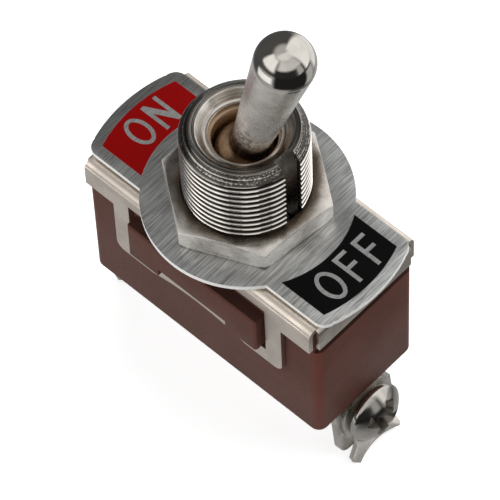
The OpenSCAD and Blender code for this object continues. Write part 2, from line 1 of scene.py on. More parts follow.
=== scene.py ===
"""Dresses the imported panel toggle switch: plating, brushed plate, threads, lettering and the studio."""

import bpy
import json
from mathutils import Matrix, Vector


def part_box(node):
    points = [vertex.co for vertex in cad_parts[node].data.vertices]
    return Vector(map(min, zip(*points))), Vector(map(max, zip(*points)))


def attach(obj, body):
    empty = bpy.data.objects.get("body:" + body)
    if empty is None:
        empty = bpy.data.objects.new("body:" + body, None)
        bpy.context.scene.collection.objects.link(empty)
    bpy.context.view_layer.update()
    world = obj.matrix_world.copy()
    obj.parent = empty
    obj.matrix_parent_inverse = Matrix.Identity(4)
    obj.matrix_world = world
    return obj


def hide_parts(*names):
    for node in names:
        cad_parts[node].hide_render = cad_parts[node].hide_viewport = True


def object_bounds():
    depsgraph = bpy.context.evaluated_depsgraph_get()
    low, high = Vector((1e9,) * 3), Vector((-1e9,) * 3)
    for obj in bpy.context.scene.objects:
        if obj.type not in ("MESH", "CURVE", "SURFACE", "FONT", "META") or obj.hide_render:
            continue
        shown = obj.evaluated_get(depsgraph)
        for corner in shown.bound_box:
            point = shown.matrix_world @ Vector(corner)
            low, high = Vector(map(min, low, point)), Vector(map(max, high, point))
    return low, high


bl_info = {
    "name": "Panel toggle switch",
    "version": (1, 0, 0),
    "blender": (4, 5, 0),
    "location": "3D View > Sidebar > Toggle switch",
    "description": "Dresses a panel toggle switch with its threads, plating, brushed plate and lettering",
    "category": "Object",
}

import json
import math
from contextlib import contextmanager

import bmesh
import bpy
import numpy as np
from mathutils import Matrix, Vector

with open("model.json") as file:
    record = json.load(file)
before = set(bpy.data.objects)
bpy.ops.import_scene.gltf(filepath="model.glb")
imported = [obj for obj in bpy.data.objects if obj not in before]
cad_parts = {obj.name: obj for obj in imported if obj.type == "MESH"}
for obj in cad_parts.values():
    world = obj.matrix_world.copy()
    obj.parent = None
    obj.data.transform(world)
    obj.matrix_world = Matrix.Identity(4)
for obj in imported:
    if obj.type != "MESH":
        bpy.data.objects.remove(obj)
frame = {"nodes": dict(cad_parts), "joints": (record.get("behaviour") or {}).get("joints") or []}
CAD_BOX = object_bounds()

MM = 0.001
TAU = 2 * math.pi
CASE = "case"
LEVER = "lever"


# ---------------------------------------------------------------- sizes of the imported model, in mm

def top_of(name):
    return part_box(name)[1].z / MM


def low_of(name):
    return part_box(name)[0].z / MM


TILT = next(joint for joint in frame["joints"] if joint["name"] == "lever_tilt")
PIVOT = TILT["pos_m"][2] / MM
LEAN = math.radians(-min(TILT["range_deg"]) / 2)
PLATE_TOP = top_of("nameplate")
BUSHING_TOP = top_of("bushing")
FLOOR_Z = CAD_BOX[0].z / MM


# ---------------------------------------------------------------- settings

def length(name, default, description):
    return bpy.props.FloatProperty(name=name, default=default, description=f"{description}, mm", min=0.0)


def offset(name, default, description):
    return bpy.props.FloatProperty(name=name, default=default, description=f"{description}, mm")


def angle(name, degrees, description):
    return bpy.props.FloatProperty(
        name=name, default=math.radians(degrees), subtype="ANGLE", description=description)


def colour(name, default, description):
    return bpy.props.FloatVectorProperty(name=name, subtype="COLOR", default=default, description=description)


class BushingSettings(bpy.types.PropertyGroup):
    radius: length("Thread radius", 5.95, "Radius over the thread's crests")
    pitch: length("Pitch", 0.75, "Rise of the thread in one turn")
    depth: length("Thread depth", 0.42, "Height of the thread's ridges")
    chamfer: length("Chamfer", 0.9, "Height of the chamfer at the top")
    mouth: length("Mouth radius", 4.43, "Inner radius of the flat top ring")
    ledge: length("Ledge radius", 3.65, "Radius at the foot of the mouth's bevel")
    step: length("Step radius", 3.3, "Radius of the counterbore under the bevel")
    bore: length("Bore radius", 3.0, "Radius of the bore round the lever")
    key_half: length("Half keyway", 1.0, "Half the keyway's width")
    key_floor: length("Keyway floor", 4.5, "Distance of the keyway's floor from the axis")


class PlateSettings(bpy.types.PropertyGroup):
    field_outer: length("Outer radius", 14.46, "Outer radius of the painted fields")
    field_inner: length("Inner radius", 9.9, "Inner radius of the painted fields")
    field_half: length("Half width", 4.88, "Half the painted fields' width")
    off_reach: length("Off wing", 0.2, "How much further the off wing reaches than the on wing")
    letter_height: length("Letter height", 3.45, "Height of the letters")
    letter_stroke: length("Stroke", 0.41, "Width of the letters' strokes")
    letter_middle: length("Letter distance", 12.13, "Distance of the words' middle from the axis")


class LeverSettings(bpy.types.PropertyGroup):
    reach: length("Reach", 22.0, "Length from the pivot to the tip's end")
    tip: length("Tip radius", 2.8, "Radius of the round tip")
    neck: length("Neck radius", 1.85, "Radius where the taper meets the fillet")
    neck_height: length("Neck height", 4.2, "Height of the taper's foot above the pivot")
    fillet: length("Fillet radius", 1.0, "Radius of the hollow between neck and ball")
    ball: length("Ball radius", 2.9, "Radius of the ball round the pivot")
    stem: length("Stem radius", 1.8, "Radius of the stem under the ball")
    stem_length: length("Stem length", 9.5, "Depth of the stem's end below the pivot")
    bore: length("Stem bore", 1.15, "Radius of the plunger's bore in the stem")
    bore_top: length("Bore top", 1.7, "Depth of the bore's end below the pivot")


class ScrewSettings(bpy.types.PropertyGroup):
    head: length("Head radius", 3.1, "Radius of the screw's head")
    head_height: length("Head height", 1.95, "Height of the domed head")
    rim: length("Rim", 0.55, "Height of the head's straight rim")
    under: length("Seat", 0.95, "Height of the head's underside on the screw's axis")
    shank: length("Shank radius", 1.75, "Radius over the screw's thread")
    shank_length: length("Shank length", 5.0, "Length of the screw under its head")
    depth: length("Thread depth", 0.26, "Height of the thread's ridges")
    pitch: length("Pitch", 0.6, "Rise of the thread in one turn")
    recess_depth: length("Recess depth", 1.35, "Depth of the cross recess under the head's top")
    recess_turn: angle("Recess turn", 58, "Turn of the cross recess about the screw")


class FinishSettings(bpy.types.PropertyGroup):
    nickel: colour("Nickel", (0.60, 0.57, 0.53), "Colour of bright nickel plating")
    steel: colour("Plated steel", (0.78, 0.70, 0.62), "Colour of the plated sheet")
    plate: colour("Plate", (0.46, 0.465, 0.46), "Colour of the brushed plate")
    moulding: colour("Moulding", (0.102, 0.042, 0.031), "Colour of the housing")
    red: colour("Red paint", (0.21, 0.0, 0.0), "Colour of the on field")
    black: colour("Black paint", (0.002, 0.002, 0.002), "Colour of the off field")


class StudioSettings(bpy.types.PropertyGroup):
    azimuth: angle("Azimuth", 45.2607, "Camera's turn about the switch")
    elevation: angle("Elevation", 56.9656, "Camera's height angle")
    roll: angle("Roll", -2.9413, "Camera's roll")
    distance: length("Distance", 379.155, "Distance from the camera to the aim point")
    aim_right: offset("Aim right", 0.1965, "Aim point's offset to the camera's right of the seat")
    aim_up: offset("Aim up", -4.5232, "Aim point's offset above the seat in the camera's view")
    lens: length("Lens", 300.85, "Focal length on a 36 mm sensor")


SETTINGS = {
    "switch_bushing": BushingSettings,
    "switch_plate": PlateSettings,
    "switch_lever": LeverSettings,
    "switch_screw": ScrewSettings,
    "switch_finish": FinishSettings,
    "switch_studio": StudioSettings,
}


def finish_colours():
    settings = bpy.context.scene.switch_finish
    return {key: tuple(getattr(settings, key)) for key in FinishSettings.__annotations__}


# ---------------------------------------------------------------- mesh helpers

def added(name, data):
    """A new object with the given data, in the scene's collection."""
    obj = bpy.data.objects.new(name, data)
    bpy.context.scene.collection.objects.link(obj)
    return obj


@contextmanager
def edited(mesh):
    """Opens a mesh for editing and writes it back."""
    bm = bmesh.new()
    bm.from_mesh(mesh)
    yield bm
    bm.to_mesh(mesh)
    bm.free()


def new_mesh(name, points, faces, smooth=True):
    """A mesh object from an (n, 3) array in millimetres and an (m, 4) array of quads."""
    mesh = bpy.data.meshes.new(name)
    faces = np.asarray(faces, np.int32)
    mesh.vertices.add(len(points))
    mesh.vertices.foreach_set("co", (np.asarray(points, float) * MM).ravel())
    mesh.loops.add(faces.size)
    mesh.loops.foreach_set("vertex_index", faces.ravel())
    mesh.polygons.add(len(faces))
    mesh.polygons.foreach_set("loop_start", np.arange(len(faces), dtype=np.int32) * faces.shape[1])
    mesh.polygons.foreach_set("loop_total", np.full(len(faces), faces.shape[1], np.int32))
    mesh.polygons.foreach_set("use_smooth", np.full(len(faces), smooth))
    mesh.update(calc_edges=True)
    mesh.validate()
    return added(name, mesh)


def grid_object(name, points):
    """A surface through a (rows, columns, 3) grid of points, with each row closed on itself."""
    rows, columns, _ = points.shape
    i, j = np.meshgrid(np.arange(rows - 1), np.arange(columns), indexing="ij")
    k = (j + 1) % columns
    low, high = i * columns, (i + 1) * columns
    faces = np.stack([low + j, low + k, high + k, high + j], -1)
    return new_mesh(name, points.reshape(-1, 3), faces.reshape(-1, 4))


def sealed(obj, distance=1e-7):
    """Merges doubles, drops what they flatten and turns the faces outwards."""
    with edited(obj.data) as bm:
        bmesh.ops.remove_doubles(bm, verts=bm.verts, dist=distance)
        bmesh.ops.dissolve_degenerate(bm, edges=bm.edges, dist=distance)
        bmesh.ops.recalc_face_normals(bm, faces=bm.faces)
    return obj


def points_of(obj):
    """A mesh's points in millimetres, as an (n, 3) array."""
    co = np.empty(len(obj.data.vertices) * 3)
    obj.data.vertices.foreach_get("co", co)
    return co.reshape(-1, 3) / MM


def reshaped(obj, points):
    """Puts a mesh's points at new places in millimetres."""
    obj.data.vertices.foreach_set("co", (points * MM).ravel())
    obj.data.update()
    return obj


def solid_copy(name):
    """A copy of a CAD node with its doubles merged and its flat faces joined, each as one polygon."""
    obj = added(f"{name}_finished", frame["nodes"][name].data.copy())
    with edited(obj.data) as bm:
        bmesh.ops.remove_doubles(bm, verts=bm.verts, dist=2e-6)
        bmesh.ops.dissolve_limit(bm, angle_limit=math.radians(0.4), verts=bm.verts, edges=bm.edges)
        bmesh.ops.recalc_face_normals(bm, faces=bm.faces)
    obj.data.materials.clear()
    if "custom_normal" in obj.data.attributes:
        obj.data.attributes.remove(obj.data.attributes["custom_normal"])
    return obj


def smooth_by_angle(obj, degrees):
    """Smooth faces, with the edges sharper than the angle marked sharp."""
    obj.data.polygons.foreach_set("use_smooth", np.ones(len(obj.data.polygons), bool))
    limit = math.radians(degrees)
    with edited(obj.data) as bm:
        for edge in bm.edges:
            edge.smooth = edge.is_manifold and edge.calc_face_angle(0) < limit
    return obj


def softened(name, width, segments, before=None):
    """A copy of a CAD node whose sharp edges are rounded over the given width in millimetres."""
    obj = solid_copy(name)
    if before:
        before(obj)
    bevel = obj.modifiers.new("edges", "BEVEL")
    bevel.width = width * MM
    bevel.segments = segments
    bevel.limit_method = "ANGLE"
    bevel.angle_limit = math.radians(28)
    bevel.use_clamp_overlap = True
    bevel.harden_normals = False
    return smooth_by_angle(applied(obj), 32)


def applied(obj):
    """Replaces the mesh by what its modifiers make of it."""
    graph = bpy.context.evaluated_depsgraph_get()
    graph.update()
    mesh = bpy.data.meshes.new_from_object(obj.evaluated_get(graph))
    obj.modifiers.clear()
    obj.data = mesh
    return obj


def cut(obj, cutter):
    """Takes the cutter out of the piece and deletes the cutter."""
    boolean = obj.modifiers.new("cut", "BOOLEAN")
    boolean.object = cutter
    boolean.operation = "DIFFERENCE"
    boolean.solver = "EXACT"
    applied(obj)
    bpy.data.objects.remove(cutter, do_unlink=True)
    return obj


def finish_piece(obj, body, slot, material, *nodes):
    """Gives a piece its material and its CAD body, and hides the nodes it stands for. The slot is not used.
    """
    obj.data.materials.clear()
    obj.data.materials.append(material)
    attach(obj, body)
    if nodes:
        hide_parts(*nodes)
    return obj


# ---------------------------------------------------------------- shader helpers

FLOAT = "NodeSocketFloat"
COLOUR = "NodeSocketColor"
SURFACE = {"Tone": COLOUR, "Roughness": FLOAT, "Height": FLOAT}


class Wire:
    """A node's output. Arithmetic on it adds a Math node to its tree and gives that node's output."""

    def __init__(self, socket):
        self.socket = socket
        self.tree = socket.id_data

    def __add__(self, other):
        return maths("ADD", self, other)

    def __sub__(self, other):
        return maths("SUBTRACT", self, other)

    def __rsub__(self, other):
        return maths("SUBTRACT", other, self)

    def __mul__(self, other):
        return maths("MULTIPLY", self, other)

    def __truediv__(self, other):
        return maths("DIVIDE", self, other)


def feed(made, values):
    """Gives a node's inputs their values, each a wire, a number, a vector or a colour."""
    for key, value in values.items():
        socket = made.inputs[key]
        if isinstance(value, Wire):
            made.id_data.links.new(value.socket, socket)
        elif socket.type == "RGBA" and len(value) == 3:
            socket.default_value = (*value, 1.0)
        else:
            socket.default_value = value


def node(tree, kind, inputs=None, **properties):
    """Adds a shader node."""
    made = tree.nodes.new(kind)
    for key, value in properties.items():
        setattr(made, key, value)
    feed(made, inputs or {})
    return made


def wires(made):
    """A node's outputs by their names."""
    return {socket.name: Wire(socket) for socket in made.outputs}


def output(tree, kind, inputs=None, which=0, **properties):
    """Adds a shader node and gives one of its outputs."""
    return Wire(node(tree, kind, inputs, **properties).outputs[which])


def tree_of(values):
    """The tree of the first wire among the values."""
    return next(value.tree for value in values if isinstance(value, Wire))


def maths(operation, *values, clamp=False):
    """The result of a Math node."""
    return output(tree_of(values), "ShaderNodeMath", dict(enumerate(values)),
                  operation=operation, use_clamp=clamp)


def vector_maths(operation, *values, which="Vector"):
    """The result of a Vector Math node."""
    return output(tree_of(values), "ShaderNodeVectorMath", dict(enumerate(values)), which,
                  operation=operation)


def ramp(value, low, high, to_low=0.0, to_high=1.0):
    """Maps low..high smoothly to to_low..to_high."""
    return output(value.tree, "ShaderNodeMapRange", {
        "Value": value, "From Min": low, "From Max": high, "To Min": to_low, "To Max": to_high},
        interpolation_type="SMOOTHSTEP")


def mixed(factor, a, b):
    """The colour that runs from a to b with the factor."""
    return output(factor.tree, "ShaderNodeMix", {0: factor, 6: a, 7: b}, 2, data_type="RGBA",
                  clamp_factor=True)


def noise(vector, scale, detail=2.0, rough=0.5, distortion=0.0, unit=MM):
    """Noise from 0 to 1 at a scale in waves per millimetre; unit is a millimetre in the vector's measure."""
    return output(vector.tree, "ShaderNodeTexNoise", {
        "Vector": vector, "Scale": scale / unit, "Detail": detail, "Roughness": rough,
        "Distortion": distortion}, "Fac")


def stretched(vector, scale):
    """Object coordinates stretched by a factor along each axis."""
    return output(vector.tree, "ShaderNodeMapping", {"Vector": vector, "Scale": scale})


def position(tree):
    """A point's place in the frame, in metres."""
    return output(tree, "ShaderNodeTexCoord", which="Object")


def facing(tree):
    """The surface's normal."""
    return output(tree, "ShaderNodeNewGeometry", which="Normal")


def axes_of(vector):
    """The three parts of a vector."""
    return [Wire(socket) for socket in node(vector.tree, "ShaderNodeSeparateXYZ", {0: vector}).outputs]


def millimetres(tree):
    """A point's x, y and z in millimetres, and its distance from the Z axis."""
    x, y, z = (part / MM for part in axes_of(position(tree)))
    return x, y, z, maths("SQRT", x * x + y * y)


def bearing(x, y):
    """A point's direction about Z in degrees from +X."""
    return maths("DEGREES", maths("ARCTAN2", y, x))


def between(share, low, high):
    """The value that runs from low to high with the share."""
    return low + share * (high - low)


# ---------------------------------------------------------------- effects that materials share

def new_group(name, inputs, outputs):
    """An empty shader group with named float or colour sockets: its tree, its given wires and its end."""
    group = bpy.data.node_groups.new(name, "ShaderNodeTree")
    for label, default in inputs.items():
        coloured = isinstance(default, tuple)
        socket = group.interface.new_socket(label, in_out="INPUT", socket_type=COLOUR if coloured else FLOAT)
        socket.default_value = (*default, 1.0) if coloured else default
    for label, kind in outputs.items():
        group.interface.new_socket(label, in_out="OUTPUT", socket_type=kind)
    start = group.nodes.new("NodeGroupInput")
    return group, wires(start), group.nodes.new("NodeGroupOutput")


def plating_group():
    """Plating over worked metal: broad ripples, fine pits and patchy gloss.

    Height = ripple + pits, Roughness = Low..High by soft patches, Tone = Light..Dark by the same patches.
    """
    group, given, end = new_group(
        "Plating",
        {"Light": (0.6, 0.57, 0.53), "Dark": (0.45, 0.42, 0.38), "Low": 0.12, "High": 0.3,
         "Ripple": 0.3, "Pits": 0.3, "Patch scale": 0.5, "Pit scale": 9.0}, SURFACE)
    place = position(group)
    spread = ramp(noise(place, given["Patch scale"], detail=3.0, rough=0.6), 0.35, 0.68)
    ripples = noise(place, given["Patch scale"] * 1.7, detail=1.0)
    pits = noise(place, given["Pit scale"], detail=4.0, rough=0.65)
    gloss = between(spread, given["Low"], given["High"])
    feed(end, {
        "Tone": mixed(spread, given["Light"], given["Dark"]),
        "Roughness": maths("ADD", gloss, (pits - 0.5) * 0.12, clamp=True),
        "Height": ripples * given["Ripple"] + ramp(pits, 0.25, 0.6) * given["Pits"]})
    return group


def axis_group():
    """A point's distance from the Z axis and height in millimetres, with lines left by turning.

    Lines is noise over distance and height alone, drawn out round the axis.
    """
    group, given, end = new_group(
        "Round the axis", {"Line scale": 8.0}, {"Radius": FLOAT, "Height": FLOAT, "Lines": FLOAT})
    x, y, z, radius = millimetres(group)
    drawn_out = maths("ARCTAN2", y, x) * 0.05
    unrolled = output(group, "ShaderNodeCombineXYZ", {0: radius, 1: z, 2: drawn_out})
    lines = noise(unrolled, given["Line scale"], detail=3.0, rough=0.6, unit=1.0)
    feed(end, {"Radius": radius, "Height": z, "Lines": lines})
    return group


def brushed_group():
    """Lines brushed along Y: fine noise drawn out 33 times along Y, and broad noise drawn out 20 times."""
    group, given, end = new_group(
        "Brushed lines",
        {"Light": (0.5, 0.51, 0.52), "Dark": (0.3, 0.31, 0.32), "Low": 0.3, "High": 0.5}, SURFACE)
    place = position(group)
    fine = noise(stretched(place, (1.0, 0.03, 0.03)), 10.0, detail=3.0, rough=0.75)
    broad = noise(stretched(place, (1.0, 0.05, 0.05)), 2.6)
    lines = fine * 0.86 + broad * 0.14
    spread = ramp(lines, 0.36, 0.64)
    shade = spread * 0.75 + ramp(noise(place, 0.25), 0.3, 0.7) * 0.25
    feed(end, {
        "Tone": mixed(shade, given["Light"], given["Dark"]),
        "Roughness": between(spread, given["Low"], given["High"]),
        "Height": lines})
    return group


def painted_field_group():
    """Masks of the two painted fields.

    A point is in a field where its distance from the Z axis lies between Inner and Outer and |y| is
    under Half width; it is in the on field where x is also negative. The off field lies 0.15 mm further
    out towards its end, with the wing.
    """
    group, given, end = new_group(
        "Painted fields", {"Inner": 9.9, "Outer": 14.5, "Half width": 4.9, "Height": 0.8},
        {"Paint": FLOAT, "On side": FLOAT})
    x, y, z, distance = millimetres(group)
    distance = distance - ramp(x, 11.0, 14.0, 0.0, 0.15)
    edge, skin = 0.03, 0.06

    def above(value, limit):
        return ramp(value - limit, -edge, edge)

    inside = above(distance, given["Inner"]) * (1.0 - above(distance, given["Outer"]))
    middle = 1.0 - above(maths("ABSOLUTE", y), given["Half width"])
    feed(end, {
        "Paint": inside * middle * above(z, given["Height"] - skin),
        "On side": above(x * -1.0, 0.0)})
    return group


def moulding_group():
    """Moulded resin: a faint cloud of shade, a fine orange-peel skin and specks of filler."""
    group, given, end = new_group(
        "Moulded resin", {"Light": (0.1, 0.05, 0.04), "Dark": (0.07, 0.035, 0.03), "Low": 0.32, "High": 0.5},
        SURFACE)
    place = position(group)
    cloud = noise(place, 0.22, detail=3.0, rough=0.6)
    peel = noise(place, 3.2)
    specks = noise(place, 14.0, rough=0.6)
    shade = ramp(cloud, 0.3, 0.7) * 0.7 + ramp(specks, 0.4, 0.62) * 0.3
    feed(end, {
        "Tone": mixed(shade, given["Light"], given["Dark"]),
        "Roughness": between(peel, given["Low"], given["High"]),
        "Height": peel * 0.5 + specks * 0.2})
    return group


GROUPS = {}


def placed(tree, maker, inputs):
    """Places a shader group, made once, with its own values and gives its outputs by their names."""
    if maker not in GROUPS:
        GROUPS[maker] = maker()
    made = tree.nodes.new("ShaderNodeGroup")
    made.node_tree = GROUPS[maker]
    feed(made, inputs)
    return wires(made)


# ---------------------------------------------------------------- materials

# Tones laid over the finishes: painted highlights, painted shade and painted dark reflections, and the real
# stains, streaks, satin and brown
# Painted highlight on the thread's crests
CREST_HIGHLIGHT = (0.95, 0.91, 0.86)
# Painted shade in the thread's grooves
GROOVE_SHADE = (0.012, 0.01, 0.008)
# Painted dark reflection on the bushing's top ring, with painted glints along its turning lines
RING_DARK_REFLECTION = (0.012, 0.011, 0.01)
RING_GLINT = (0.3, 0.28, 0.25)
# Painted dark reflection on the bushing's chamfer
CHAMFER_SHADE = (0.06, 0.056, 0.05)
# Painted dark bands on the bore's mouth bevel
MOUTH_SHADE = (0.25, 0.22, 0.19)
BORE_BROWN = (0.42, 0.29, 0.18)
# Painted light on the nut's upright sides
NUT_SIDE_LIGHT = (1.0, 0.97, 0.92)
NUT_STREAK = (0.26, 0.24, 0.21)
NUT_STAIN = (0.1, 0.075, 0.052)
LEVER_SATIN = (0.9, 0.86, 0.81)
LEVER_BROWN = (0.2, 0.13, 0.07)
# Painted highlight on the plate's rounded edge
PLATE_EDGE_HIGHLIGHT = (1.0, 1.0, 0.98)
# Painted sheen: a redder, lighter tone for the housing's upright rounded edges
MOULDING_EDGE_SHEEN = (0.15, 0.045, 0.033)
# Painted shade on the housing's faces that face up
MOULDING_UPPER_SHADE = (0.03, 0.012, 0.01)


def shade_of(tone, factor):
    return tuple(min(1.0, channel * factor) for channel in tone)


def bare_material(name):
    """An empty material, its tree and its output."""
    material = bpy.data.materials.new(name)
    material.use_nodes = True
    tree = material.node_tree
    tree.nodes.clear()
    return material, tree, tree.nodes.new("ShaderNodeOutputMaterial")


class Finish:
    """A material with a Principled shader and a Bump node that feeds its normal."""

    def __init__(self, name, bump_distance, metallic=1.0, bump_strength=1.0, specular=0.5):
        self.material, self.tree, out = bare_material(name)
        self.bump = node(self.tree, "ShaderNodeBump", {
            "Strength": bump_strength, "Distance": bump_distance * MM})
        self.shader = node(self.tree, "ShaderNodeBsdfPrincipled", {
            "Metallic": metallic, "Specular IOR Level": specular, "Normal": Wire(self.bump.outputs[0])})
        feed(out, {0: Wire(self.shader.outputs[0])})

    def plating(self, tone, dark, low, high, ripple, pits, patch_scale, pit_scale=9.0):
        """The plating in a tone, with its dark patches a share of the tone."""
        return placed(self.tree, plating_group, {
            "Light": tone, "Dark": shade_of(tone, dark), "Low": low, "High": high, "Ripple": ripple,
            "Pits": pits, "Patch scale": patch_scale, "Pit scale": pit_scale})

    def made(self, surface, **changed):
        """Feeds the shader with a surface's wires, with some of them changed, and gives the material."""
        surface = {**surface, **changed}
        feed(self.bump, {"Height": surface["Height"]})
        feed(self.shader, {"Base Color": surface["Tone"], "Roughness": surface["Roughness"]})
        if "Metallic" in surface:
            feed(self.shader, {"Metallic": surface["Metallic"]})
        return self.material


def plated(name, tone, dark=0.75, low=0.12, high=0.28, ripple=0.3, pits=0.2, patch_scale=0.4,
           pit_scale=9.0, distance=0.01, metallic=1.0):
    """A plated metal, bright or satin by its roughness range."""
    finish = Finish(name, distance, metallic)
    return finish.made(finish.plating(tone, dark, low, high, ripple, pits, patch_scale, pit_scale))


def plain_material(name, tone, metallic, roughness, grain, distance):
    """A plain inner finish: a colour with a fine grain in its shade and surface."""
    return plated(name, tone, 0.82, roughness * 0.8, roughness * 1.2, ripple=0.1, pits=grain,
                  patch_scale=0.8, pit_scale=12.0, distance=distance, metallic=metallic)


def bushing_material():
    """Nickel with a painted highlight on the thread's crests and painted shade in its grooves, painted dark
    reflections broken by painted glints on the top ring and the chamfer, painted dark bands on the mouth's
    bevel, and brown and duller in the bore.
    """
    s = bpy.context.scene.switch_bushing
    finish = Finish("Bushing nickel", 0.012)
    nickel = finish_colours()["nickel"]
    plating = finish.plating(nickel, 0.7, 0.14, 0.26, ripple=0.15, pits=0.25, patch_scale=0.5)
    axis = placed(finish.tree, axis_group, {"Line scale": 7.0})
    radius, height, lines = axis["Radius"], axis["Height"], axis["Lines"]
    root, chamfer_foot = s.radius - s.depth, BUSHING_TOP - s.chamfer
    below = ramp(height, chamfer_foot, chamfer_foot + 0.15, 1.0, 0.0)
    thread = below * ramp(radius, root - 0.1, root - 0.05)
    crest = ramp(radius, s.radius - 0.17, s.radius - 0.02)
    ring = ramp(height, BUSHING_TOP - 0.03, BUSHING_TOP - 0.01) * ramp(radius, s.mouth - 0.02, s.mouth + 0.04)
    ragged = noise(position(finish.tree), 5.0, detail=3.0, distortion=0.4) * 0.4 + lines
    # Painted dark reflection on the chamfer, broken by painted glints of the plating where the ragged noise
    # is high
    chamfer = (1.0 - below) * ramp(radius, s.radius - s.chamfer - 0.02, s.radius - s.chamfer + 0.12)
    chamfer = chamfer * ramp(ragged, 0.74, 0.83, 1.0, 0.0)
    mouth = ramp(radius, s.ledge - 0.1, s.ledge) * ramp(radius, s.mouth - 0.12, s.mouth - 0.04, 1.0, 0.0)
    bore = ramp(radius, s.bore + 0.15, s.ledge - 0.1, 1.0, 0.0)
    # Painted dark reflection on the top ring, lit by painted glints along the turning lines
    ring_reflection = mixed(ramp(lines, 0.46, 0.64), RING_DARK_REFLECTION, RING_GLINT)
    tone = plating["Tone"]
    for mask, over in (
            # Thread: painted highlight on the crests, painted shade in the grooves
            (thread * crest, CREST_HIGHLIGHT),
            (thread * (1.0 - crest), GROOVE_SHADE),
            (ring * 0.9, ring_reflection),
            (chamfer, CHAMFER_SHADE),
            # Mouth's bevel: painted dark bands along the turning lines
            (mouth * ramp(lines, 0.4, 0.6, 0.75, 0.15), MOUTH_SHADE),
            (bore * 0.8, BORE_BROWN)):
        tone = mixed(mask, tone, over)
    matte_share = maths("MAXIMUM", ring * 0.1, bore * 0.08)
    rings = lines * (ring * 1.2 + 0.4)
    return finish.made(plating, Tone=tone, Roughness=plating["Roughness"] + matte_share,
                       Height=plating["Height"] + (rings + chamfer * 0.35))


def nut_material():
    """Nickel stained brown where the nut's top meets the thread, with a grain on its sides, painted light on
    its upright sides and a painted highlight along its rounded outer edges.
    """
    finish = Finish("Nut nickel", 0.02)
    nickel = finish_colours()["nickel"]
    plating = finish.plating(nickel, 0.72, 0.11, 0.2, ripple=0.4, pits=0.3, patch_scale=0.3)
    upright = axes_of(facing(finish.tree))[2]
    axis = placed(finish.tree, axis_group, {"Line scale": 5.0})
    cloud = noise(position(finish.tree), 0.5, detail=3.0, rough=0.6)
    stain = ramp(axis["Radius"] - cloud * 1.6, 5.5, 7.0, 1.0, 0.0)
    # Painted light: the upright sides turn towards a brighter tone
    tone = mixed(ramp(upright, 0.1, 0.95, 1.0, 0.0), plating["Tone"], NUT_SIDE_LIGHT)
    streaks = ramp(axis["Lines"], 0.46, 0.6) * ramp(upright, 0.1, 0.4, 0.22, 0.0)
    tone = mixed(streaks, tone, NUT_STREAK)
    tone = mixed(stain * 0.95, tone, NUT_STAIN)
    # Painted highlight: the rounded outer edges, and a little of the sides, lose metal so their pale tone
    # shows as bright lines
    rounded = ramp(upright, 0.15, 0.4) * ramp(upright, 0.85, 0.97, 1.0, 0.0)
    outer = ramp(axis["Radius"], 6.6, 6.8)
    matte_share = rounded * outer * 0.8 + ramp(upright, 0.05, 0.15, 0.3, 0.0)
    return finish.made(plating, Tone=tone, Roughness=plating["Roughness"] + stain * 0.12,
                       Metallic=maths("SUBTRACT", 1.0, matte_share, clamp=True))


def lever_material():
    """Polished nickel on the tip and satin below it, browned at the foot.

    The finishes follow the way up from the pivot, (point - pivot) . (sin LEAN, 0, cos LEAN).
    """
    finish = Finish("Lever nickel", 0.012)
    nickel = finish_colours()["nickel"]
    plating = finish.plating(nickel, 0.8, 0.06, 0.13, ripple=0.35, pits=0.08, patch_scale=0.28)
    place = position(finish.tree)
    up_lever = (math.sin(LEAN), 0, math.cos(LEAN))
    from_pivot = vector_maths("SUBTRACT", place, (0, 0, PIVOT * MM))
    along = vector_maths("DOT_PRODUCT", from_pivot, up_lever, which="Value") / MM
    satin = ramp(along, 18.9, 19.3, 1.0, 0.0)
    cloud = noise(place, 0.55, detail=4.0, rough=0.62)
    spots = noise(place, 2.6, detail=4.0, rough=0.7, distortion=0.5)
    tone = mixed(satin * ramp(cloud, 0.3, 0.7, 1.0, 0.5), plating["Tone"], LEVER_SATIN)
    foot = ramp(along - cloud * 9.0, 1.0, 5.5, 1.0, 0.0) * ramp(spots, 0.44, 0.6, 0.1, 0.85)
    ball = ramp(along, 3.4, 5.4, 0.75, 0.0)
    lower = ramp(along, 3.5, 6.0) * ramp(along, 8.0, 15.0, 0.32, 0.0)
    scratches = noise(stretched(place, (0.6, 0.6, 5.0)), 2.2, detail=4.0, rough=0.7)
    return finish.made(plating, Tone=mixed(maths("MAXIMUM", foot, ball), tone, LEVER_BROWN),
                       Roughness=plating["Roughness"] + satin * 0.15, Metallic=1.0 - lower,
                       Height=plating["Height"] + scratches * satin * 0.8)


def brushed(tree, light, dark, low, high):
    """The brushed metal of the plate, its light and dark lines shares of the plate's colour."""
    plate = finish_colours()["plate"]
    return placed(tree, brushed_group, {
        "Light": shade_of(plate, light), "Dark": shade_of(plate, dark), "Low": low, "High": high})


def brushed_plate_material():
    """Brushed metal with the two painted fields laid over it, and a painted highlight on its rounded edge,
    which also loses metal.
    """
    colours = finish_colours()
    sizes = bpy.context.scene.switch_plate
    finish = Finish("Brushed plate", 0.006, specular=0.04)
    lines = brushed(finish.tree, 1.3, 0.42, 0.3, 0.45)
    fields = placed(finish.tree, painted_field_group, {
        "Inner": sizes.field_inner, "Outer": sizes.field_outer, "Half width": sizes.field_half,
        "Height": PLATE_TOP})
    painted = fields["Paint"]
    bare = 1.0 - painted
    # Painted highlight on the rounded edge: a near-white tone, partly non-metallic
    edge = ramp(axes_of(facing(finish.tree))[2], 0.5, 0.97, 1.0, 0.0)
    metal = mixed(edge, lines["Tone"], PLATE_EDGE_HIGHLIGHT)
    paint = mixed(fields["On side"], colours["black"], colours["red"])
    return finish.made({
        "Tone": mixed(painted, metal, paint),
        "Roughness": lines["Roughness"] * bare + painted * 0.55,
        "Height": lines["Height"] * bare + painted * 1.5,
        "Metallic": maths("SUBTRACT", bare, edge * 0.6, clamp=True)})


